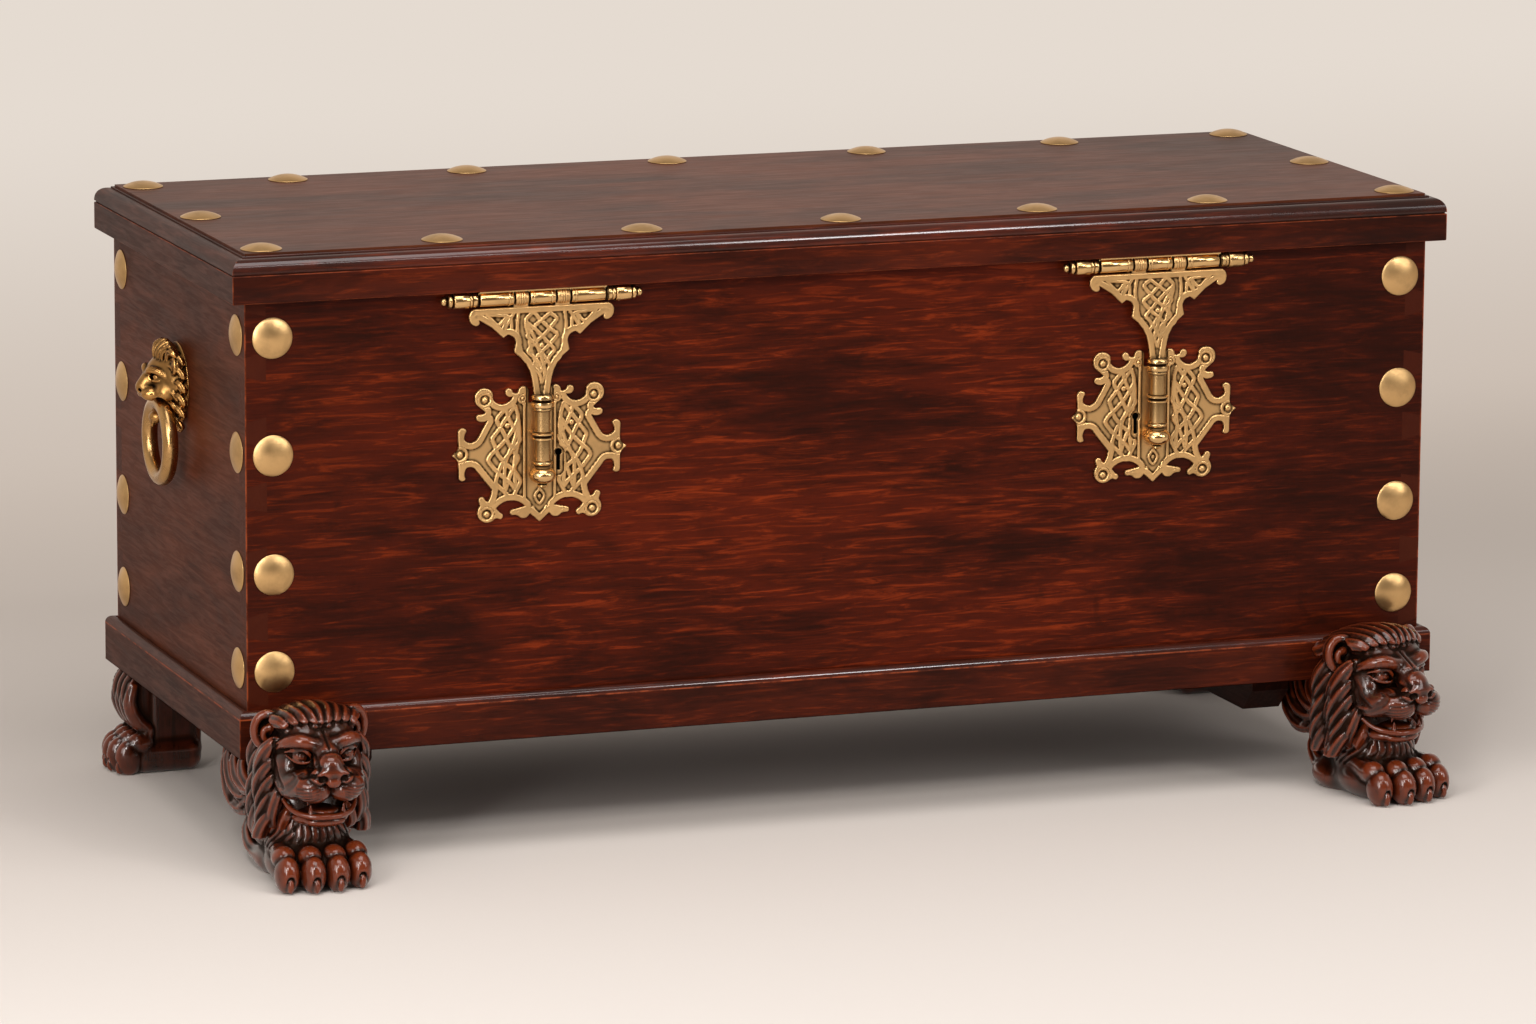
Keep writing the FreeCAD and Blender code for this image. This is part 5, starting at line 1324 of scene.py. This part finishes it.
    # Side locks, in two layers, that sweep out, back and down to pointed ends
    for index in range(5):
        w = 130 - 15.5 * index
        size = 1 + 0.1 * math.cos(2.4 * index)
        out = 1.5 * math.sin(1.9 * index)
        clay.pair("rope", [(37, 54, w + 5), (42, 51, w), (47 + out, 45, w - 9), (50 + out, 36, w - 23),
                           (48 + out, 28, w - 38), (42, 23, w - 48)],
                  [2.4, 6.2 * size, 8.2 * size, 8.0, 5.8, 1.8], 1.0, flutes=6, depth=0.17, outward=(1, 0.6, 0.3),
                  count=20)
        clay.pair("rope", [(40, 36, w + 12), (46, 26, w + 2), (49 - out, 15, w - 12), (48 - out, 6, w - 26),
                           (43, 2, w - 36)],
                  [4.4, 7.6, 8.4, 6, 2.2], 1.0, flutes=6, depth=0.17, outward=(1, 0.2, 0.3), count=18)
    clay.pair("rope", [(35, 60, 96), (40, 58, 85), (43, 53, 71), (42, 47, 58), (36, 45, 50)], [2.6, 6.0, 7.4, 6.0, 2.2],
              1.0, flutes=6, depth=0.17, outward=(1, 0.8, 0), count=18)
    clay.pair("rope", [(28, 58, 72), (32, 58, 64), (34, 54, 55), (30, 50, 48)], [3.4, 6, 5.4, 2.0], 1.0, flutes=5,
              depth=0.17, outward=(1, 1, 0), count=14)
    clay.pair("rope", [(41, 43, 82), (46, 38, 69), (47, 31, 56), (41, 27, 47)], [4.4, 7.4, 6.6, 2.2], 1.0, flutes=6,
              depth=0.17, outward=(1, 0.3, 0), count=14)


def lion_leg(clay):
    """The chest, leg, paw and toes."""
    clay.lump((0, 30, 64), (39, 33, 42), 5)
    clay.lump((0, 32, 42), (39, 41, 36), 8)
    clay.lump((0, 46, 18), (41, 48, 24), 8)
    clay.lump((0, 0, 12), (38, 40, 20), 8)
    for index in range(4):
        u = 22.6 * (index - 1.5)
        back = 0 if index in (1, 2) else 7
        clay.rope([(0.8 * u, 46 - back, 34), (u, 76 - back, 29)], [8, 10], 4, count=6)
        clay.lump((u, 82.5 - back, 29.6), (11.0, 12.6, 11.2), 1.2)
        clay.lump((u, 93.5 - back, 16.6), (11.6, 14.6, 17.2), 0.8)
        clay.lump((u, 107.6 - back, 9.4), (4.6, 4.4, 8.2), 0.7, cut=True)
        clay.lump((u, 104.0 - back, 8.4), (3.4, 5.0, 7.2), 0.3)


def leafy_scroll(clay):
    """The bracket behind the leg: two rolls ribbed across, whorled at their ends, with leaves along their sides."""
    cuts, (x, y, z) = clay.room((0, -60, 60), 90)
    for centre_y, centre_z, radius, half, rib in ((-88, 72, 36, 40, 10.5), (-34, 46, 26, 37, 9.5)):
        dy = y - centre_y
        dz = z - centre_z
        out = np.sqrt(dy * dy + dz * dz)
        angle = np.arctan2(dz, dy)
        whorl = 1.8 * np.cos(2 * np.pi * (out / 11.0 - angle / (2 * np.pi)))
        ribbed = out - radius - 1.7 * np.cos(2 * np.pi * x / rib)
        ends = np.abs(x) - half - whorl * np.clip(out / 14, 0, 1)
        clay.work(cuts, np.maximum(ribbed, ends), 2.0, False)
    clay.lump((0, -60, 92), (40, 62, 22), 3)
    leaves = [[(34, -120, 96), (37, -119, 74), (38, -104, 52), (37, -82, 42), (33, -58, 44), (30, -40, 52)],
              [(34, -103, 102), (39, -102, 84), (40, -89, 65), (38, -68, 56), (34, -48, 60), (31, -34, 70)],
              [(35, -78, 102), (40, -77, 88), (41, -65, 74), (39, -49, 67), (35, -32, 71), (32, -20, 82)],
              [(35, -50, 102), (41, -49, 90), (42, -39, 79), (39, -25, 72), (35, -11, 76), (32, 0, 86)],
              [(32, -58, 44), (37, -50, 28), (39, -33, 17), (37, -15, 13), (33, 0, 16), (30, 12, 24)],
              [(33, -30, 60), (38, -25, 46), (40, -12, 36), (38, 3, 32), (34, 16, 36)]]
    for leaf in leaves:
        clay.pair("rope", leaf, [3.0, 7.5, 8.6, 7.4, 5.0, 2.0], 1.0, flutes=6, depth=0.18, outward=(1, 0, 0), count=22)


def face_lines():
    """The cuts of the face as drawings in front view: fine ones for whiskers and fur, broad ones round the parts."""
    fine = []
    turn = np.linspace(0, 2 * np.pi, 9)
    for side in (-1, 1):
        for k in range(5):
            fine.append([(side * (10 + k * 0.6), 101 - 2.9 * k), (side * (21 + k * 0.3), 98.5 - 3.2 * k),
                         (side * (33 - k * 0.3), 98 - 3.5 * k)])
        for k in range(5):
            fine.append([(side * (19 + 3 * k), 113.5 - 1.4 * k), (side * (30 + 2.4 * k), 107.5 - 2.5 * k),
                         (side * (37 + 1.2 * k), 97 - 3.2 * k)])
        fine.append(np.stack([side * 22.6 + 3.4 * np.cos(turn), 123.4 + 3.4 * np.sin(turn)], axis=1))
        fine.append(np.stack([side * 22.6 + 0.8 * np.cos(turn), 123.4 + 0.8 * np.sin(turn)], axis=1))
    broad = [[(0, 149), (0, 140), (0, 131)]]
    for side in (-1, 1):
        broad.append([(side * 0.8, 131), (side * 7, 129.5), (side * 12.6, 124), (side * 13, 116)])
        broad.append([(side * 12, 118), (side * 19, 110.5), (side * 28, 107.5)])
        broad.append([(side * 1, 149.5), (side * 14, 151), (side * 29, 148.5), (side * 40, 140), (side * 43.5, 126),
                      (side * 43.5, 110), (side * 42, 95)])
    return fine, broad


def drawn_out(clay):
    """A carving's surface with its points eased once, its outward directions and its points before the swing."""
    points, faces = clay.surface()
    points = eased(points, faces, 1)
    out = facing(points, faces)
    centre = np.array([clay.pivot[0], clay.pivot[1], 0.0])
    own = clay.turned_to(points, back=True)
    own_out = clay.turned_to(out + centre, back=True) - centre
    return points, faces, out, own, own_out


foot_top = 104.8


def lion_foot(name, node, centre, head_turn, head_shift, leg_turn, paw_shift, step):
    """One lion foot in two carved parts, in its own millimetres: X across, Y forwards from the base moulding, Z up."""

    def put(part, points, faces):
        """Place a part and mark its hollows."""
        y = middle_y - plinth_half_depth - points[:, 1]
        placed = np.stack([centre + points[:, 0], y, points[:, 2]], axis=1) * MM
        made = piece(name + part, placed, faces, "case", node, math.radians(180),
                     carved_hollows(points, faces))
        dress(made, carved_wood)

    clay = Carving((head_shift - 66, -8, 40), (head_shift + 66, 116, 170), step)
    clay.turn = math.radians(head_turn)
    clay.aside = head_shift
    clay.pivot = (0.0, 20.0)
    clay.slim = 0.95
    lion_head(clay)
    _, y, z = clay.everywhere()
    clay.trim(np.minimum(z - foot_top, 0.2 - y))
    points, faces, out, own, own_out = drawn_out(clay)
    fine, broad = face_lines()
    front = (own_out[:, 1] > 0.15) & (own[:, 1] > 44) & (own[:, 2] > 84)
    points = scored(points, out, own[:, [0, 2]], fine, 1.3, 0.7, front)
    front = (own_out[:, 1] > 0.0) & (own[:, 1] > 44) & (own[:, 2] > 90)
    points = scored(points, out, own[:, [0, 2]], broad, 2.0, 1.5, front)
    put("_head", points, faces)

    clay = Carving((-66, -134, -3), (66, 114, 106), step * 1.13)
    clay.pivot = (0.0, 20.0)
    leafy_scroll(clay)
    clay.turn = math.radians(leg_turn)
    clay.aside = head_shift + paw_shift
    lion_leg(clay)
    _, y, z = clay.everywhere()
    clay.trim(-z)
    clay.trim(np.minimum(z - foot_top, 0.2 - y))
    points, faces, out, own, own_out = drawn_out(clay)
    hair = []
    for k in range(11):
        u = 6.6 * (k - 5)
        hair.append([(u * 0.8, 68), (u, 58), (u * 1.12 + 1.5, 48), (u * 1.3, 40)])
    chest = (own_out[:, 1] > 0.1) & (own[:, 1] < 74) & (own[:, 2] < 70)
    points = scored(points, out, own[:, [0, 2]], hair, 1.8, 0.9, chest)
    flank = [[(66 - 7 * k, 60), (62 - 7.5 * k, 48), (52 - 8 * k, 38), (44 - 8 * k, 32)] for k in range(7)]
    for side in (-1, 1):
        points = scored(points, out, points[:, [1, 2]], flank, 2.0, 1.2, (out[:, 0] * side > 0.4) & (points[:, 2] < 64))
    put("_leg", points, faces)


def rear_foot(sign, name):
    """A paw foot under a rear corner: X outwards from its heel, Y across, Z up."""
    clay = Carving((-3, -40, -3), (101, 40, 108), 1.1)
    # The leg block and the paw's flat body
    clay.block((26, -1, 62), (25.5, 26, 46), 6)
    clay.block((36, 0, 17), (36, 32, 17), 14, 3)
    # The ribbed scroll: its roll, then ridges that run down over the instep
    cuts, (x, y, z) = clay.room((52, 0, 77), 46)
    out = np.hypot(x - 50, z - 77)
    ribbed = out - 26.5 - 1.9 * np.cos(2 * np.pi * y / 14.5)
    clay.work(cuts, np.maximum(ribbed, np.abs(y) - 25), 2.0, False)
    for place in (-21.75, -7.25, 7.25, 21.75):
        clay.rope([(68, place, 86), (71, place, 68), (64, place, 52), (55, place, 42), (60, place * 1.1, 28)],
                  [5.5, 7, 7.6, 7.8, 8], 1.2, count=16)
    # Toes with their knuckles and claws
    for index in range(4):
        place = 16.2 * (index - 1.5)
        back = 0 if index in (1, 2) else 4
        clay.lump((66 - back, place, 29), (14, 8.8, 12), 1.5)
        clay.lump((77 - back, place, 17), (14, 9.0, 17.4), 0.9)
        clay.lump((89.5 - back, place, 8.5), (3.6, 3.4, 7.4), 0.6, cut=True)
        clay.lump((86.5 - back, place, 7.8), (4.6, 2.5, 6.6), 0.3)
    height = clay.everywhere()[2]
    clay.trim(-height)
    clay.trim(height - foot_top)
    points, faces = drawn_out(clay)[:2]
    points[:, 2] = np.clip(points[:, 2], 0.0, foot_top)
    hollow = carved_hollows(points, faces)
    placed = np.stack([sign * (512 + points[:, 0]), 258 + points[:, 1], points[:, 2]], axis=1) * MM
    if sign < 0:
        faces = faces[:, ::-1]
    made = piece("rear_paw_" + name, placed, faces, "case", "foot_rear_" + name, math.radians(180),
                 hollow)
    face_out(made)
    dress(made, carved_wood)


# Floor, light and camera

# Floor and backdrop colours: the darker middle of the floor and the darker low part of the far light are painted shade.
floor_near = (213, 204, 197)
floor_shade_middle = (204, 192, 182)
backdrop_shade_low = (200, 186, 174)
backdrop_high = (229, 219, 209)
room_front = (112, 104, 98)
room_above = (130, 122, 114)


def sweep_floor():
    """A wide flat floor, paler near the front and darker behind the chest in painted shade, that turns to a pale light
    far off, darker nearer the chest in painted shade and even further away.
    """
    side = 60.0
    points = np.array([[-side, -side, 0], [side, -side, 0], [side, side, 0], [-side, side, 0]])
    mesh = bpy.data.meshes.new("floor")
    mesh.from_pydata(points.tolist(), [], [(0, 1, 2, 3)])
    floor = bpy.data.objects.new("floor", mesh)
    bpy.context.scene.collection.objects.link(floor)
    made = Finish("floor paper")
    depth = made.axes()[1]
    # Painted light and shade: the floor is paler in front and darkens behind the chest.
    paper = made.mix(made.ramp(depth, -1.2, 1.1), lit(*floor_near), lit(*floor_shade_middle))
    shader = made.finish(Base_Color=paper, Roughness=0.95, Specular_IOR_Level=0.0)
    # Painted shade: the far light is darker nearer the chest and pale far off.
    far = made.mix(made.ramp(depth, 0.9, 4.8), lit(*backdrop_shade_low), lit(*backdrop_high))
    light = made.feed(made.node("ShaderNodeEmission"), Color=far, Strength=1.0)
    aside = made.sum("ABSOLUTE", made.axes()[0])
    reach = made.sum("MAXIMUM", made.ramp(depth, 0.75, 1.9), made.ramp(aside, 1.6, 3.0))
    both = made.blend(made.sum("MULTIPLY", made.seeing(), reach), made.shader.outputs[0], light.outputs[0])
    made.feed(made.tree.nodes["Material Output"], Surface=both)
    floor.data.materials.append(shader)


def set_up(made, side, up, back, place):
    """Put a lamp or a camera into the scene by its three directions and its place."""
    bpy.context.scene.collection.objects.link(made)
    made.matrix_world = Matrix([[side[i], up[i], back[i], place[i]] for i in range(3)] + [[0, 0, 0, 1]])


def soft_box(name, place, target, width, height, power):
    """A rectangular lamp that faces a point."""
    lamp = bpy.data.lights.new(name, "AREA")
    lamp.shape = "RECTANGLE"
    lamp.size = width
    lamp.size_y = height
    lamp.energy = power
    back = np.array(place, dtype=float) - np.array(target, dtype=float)
    back /= np.linalg.norm(back)
    side = np.cross([0, 0, 1], back)
    side /= np.linalg.norm(side)
    set_up(bpy.data.objects.new(name, lamp), side, np.cross(back, side), back, place)


def pale_world(share):
    """An even pale light all round, which the camera, metal and glass see as a warm white."""
    world = bpy.data.worlds.new("pale room")
    bpy.context.scene.world = world
    world.use_nodes = True
    world.node_tree.nodes.clear()
    made = Nodes(world.node_tree)
    place = made.node("ShaderNodeTexCoord").outputs["Generated"]
    way = made.feed(made.node("ShaderNodeSeparateXYZ"), Vector=place).outputs
    behind = made.ramp(way[1], -0.7, 0.3, smooth=False)
    walls = made.mix(behind, lit(*room_front), lit(*backdrop_high))
    above = made.ramp(way[2], 0.6, 1.0, smooth=False)
    room = made.mix(above, walls, lit(*room_above))
    seen = made.feed(made.node("ShaderNodeBackground"), Color=room).outputs[0]
    even = made.feed(made.node("ShaderNodeBackground"), Color=(1.0, 0.97, 0.94), Strength=share).outputs[0]
    made.feed(made.node("ShaderNodeOutputWorld"), Surface=made.blend(made.seeing(), even, seen))


def place_camera():
    """The photograph's camera: a long lens from the left of the front, a little above the lid."""
    place = (-2.485383, -6.667093, 1.658799)
    yaw = math.radians(20.3081)
    pitch = math.radians(11.0861)
    roll = math.radians(0.34769)
    lens_pixels = 7603.826
    sensor = 36.0
    image_width = 1536
    ahead = np.array([math.sin(yaw) * math.cos(pitch), math.cos(yaw) * math.cos(pitch), -math.sin(pitch)])
    right = np.array([math.cos(yaw), -math.sin(yaw), 0.0])
    up = np.cross(right, ahead)
    side = math.cos(roll) * right + math.sin(roll) * up
    top = -math.sin(roll) * right + math.cos(roll) * up
    lens = bpy.data.cameras.new("camera")
    lens.sensor_width = sensor
    lens.lens = lens_pixels * sensor / image_width
    lens.clip_end = 200.0
    camera = bpy.data.objects.new("camera", lens)
    set_up(camera, side, top, -ahead, place)
    bpy.context.scene.camera = camera


frame_of_strips()
all_studs()
both_hasps()
for sign, name in ((-1, "left"), (1, "right")):
    ring_handle(sign, name)
    lion_mask(sign, name)
foot_step = 1.16
lion_foot("lion_left", "foot_front_left", -535, 0, -4, 0, -4, foot_step)
lion_foot("lion_right", "foot_front_right", 535, -15, -20, -13, 5, foot_step)
for sign, name in ((-1, "left"), (1, "right")):
    rear_foot(sign, name)


sweep_floor()
pale_world(0.42)
soft_box("overhead lamp", (-0.4, -1.2, 3.2), (0, 0, 0.3), 2.4, 1.6, 48)
soft_box("strip lamp", (-0.2, -2.6, 2.6), (0, 0, 0.3), 4.0, 0.16, 20)
soft_box("upright lamp", (-2.2, -2.2, 0.95), (-0.3, -0.18, 0.38), 0.36, 1.5, 26)
soft_box("left lamp", (-3.4, -2.2, 1.9), (0, 0, 0.3), 1.4, 2.0, 34)
soft_box("right lamp", (3.0, -3.2, 2.0), (0, 0, 0.3), 1.4, 1.8, 34)
soft_box("left highlight", (-1.9, -3.2, 2.5), (-0.3, -0.2, 0.25), 0.5, 0.5, 24)
soft_box("right highlight", (1.5, -3.4, 2.6), (0.4, -0.2, 0.25), 0.5, 0.5, 21)
place_camera()
bpy.context.scene.view_settings.view_transform = "Standard"
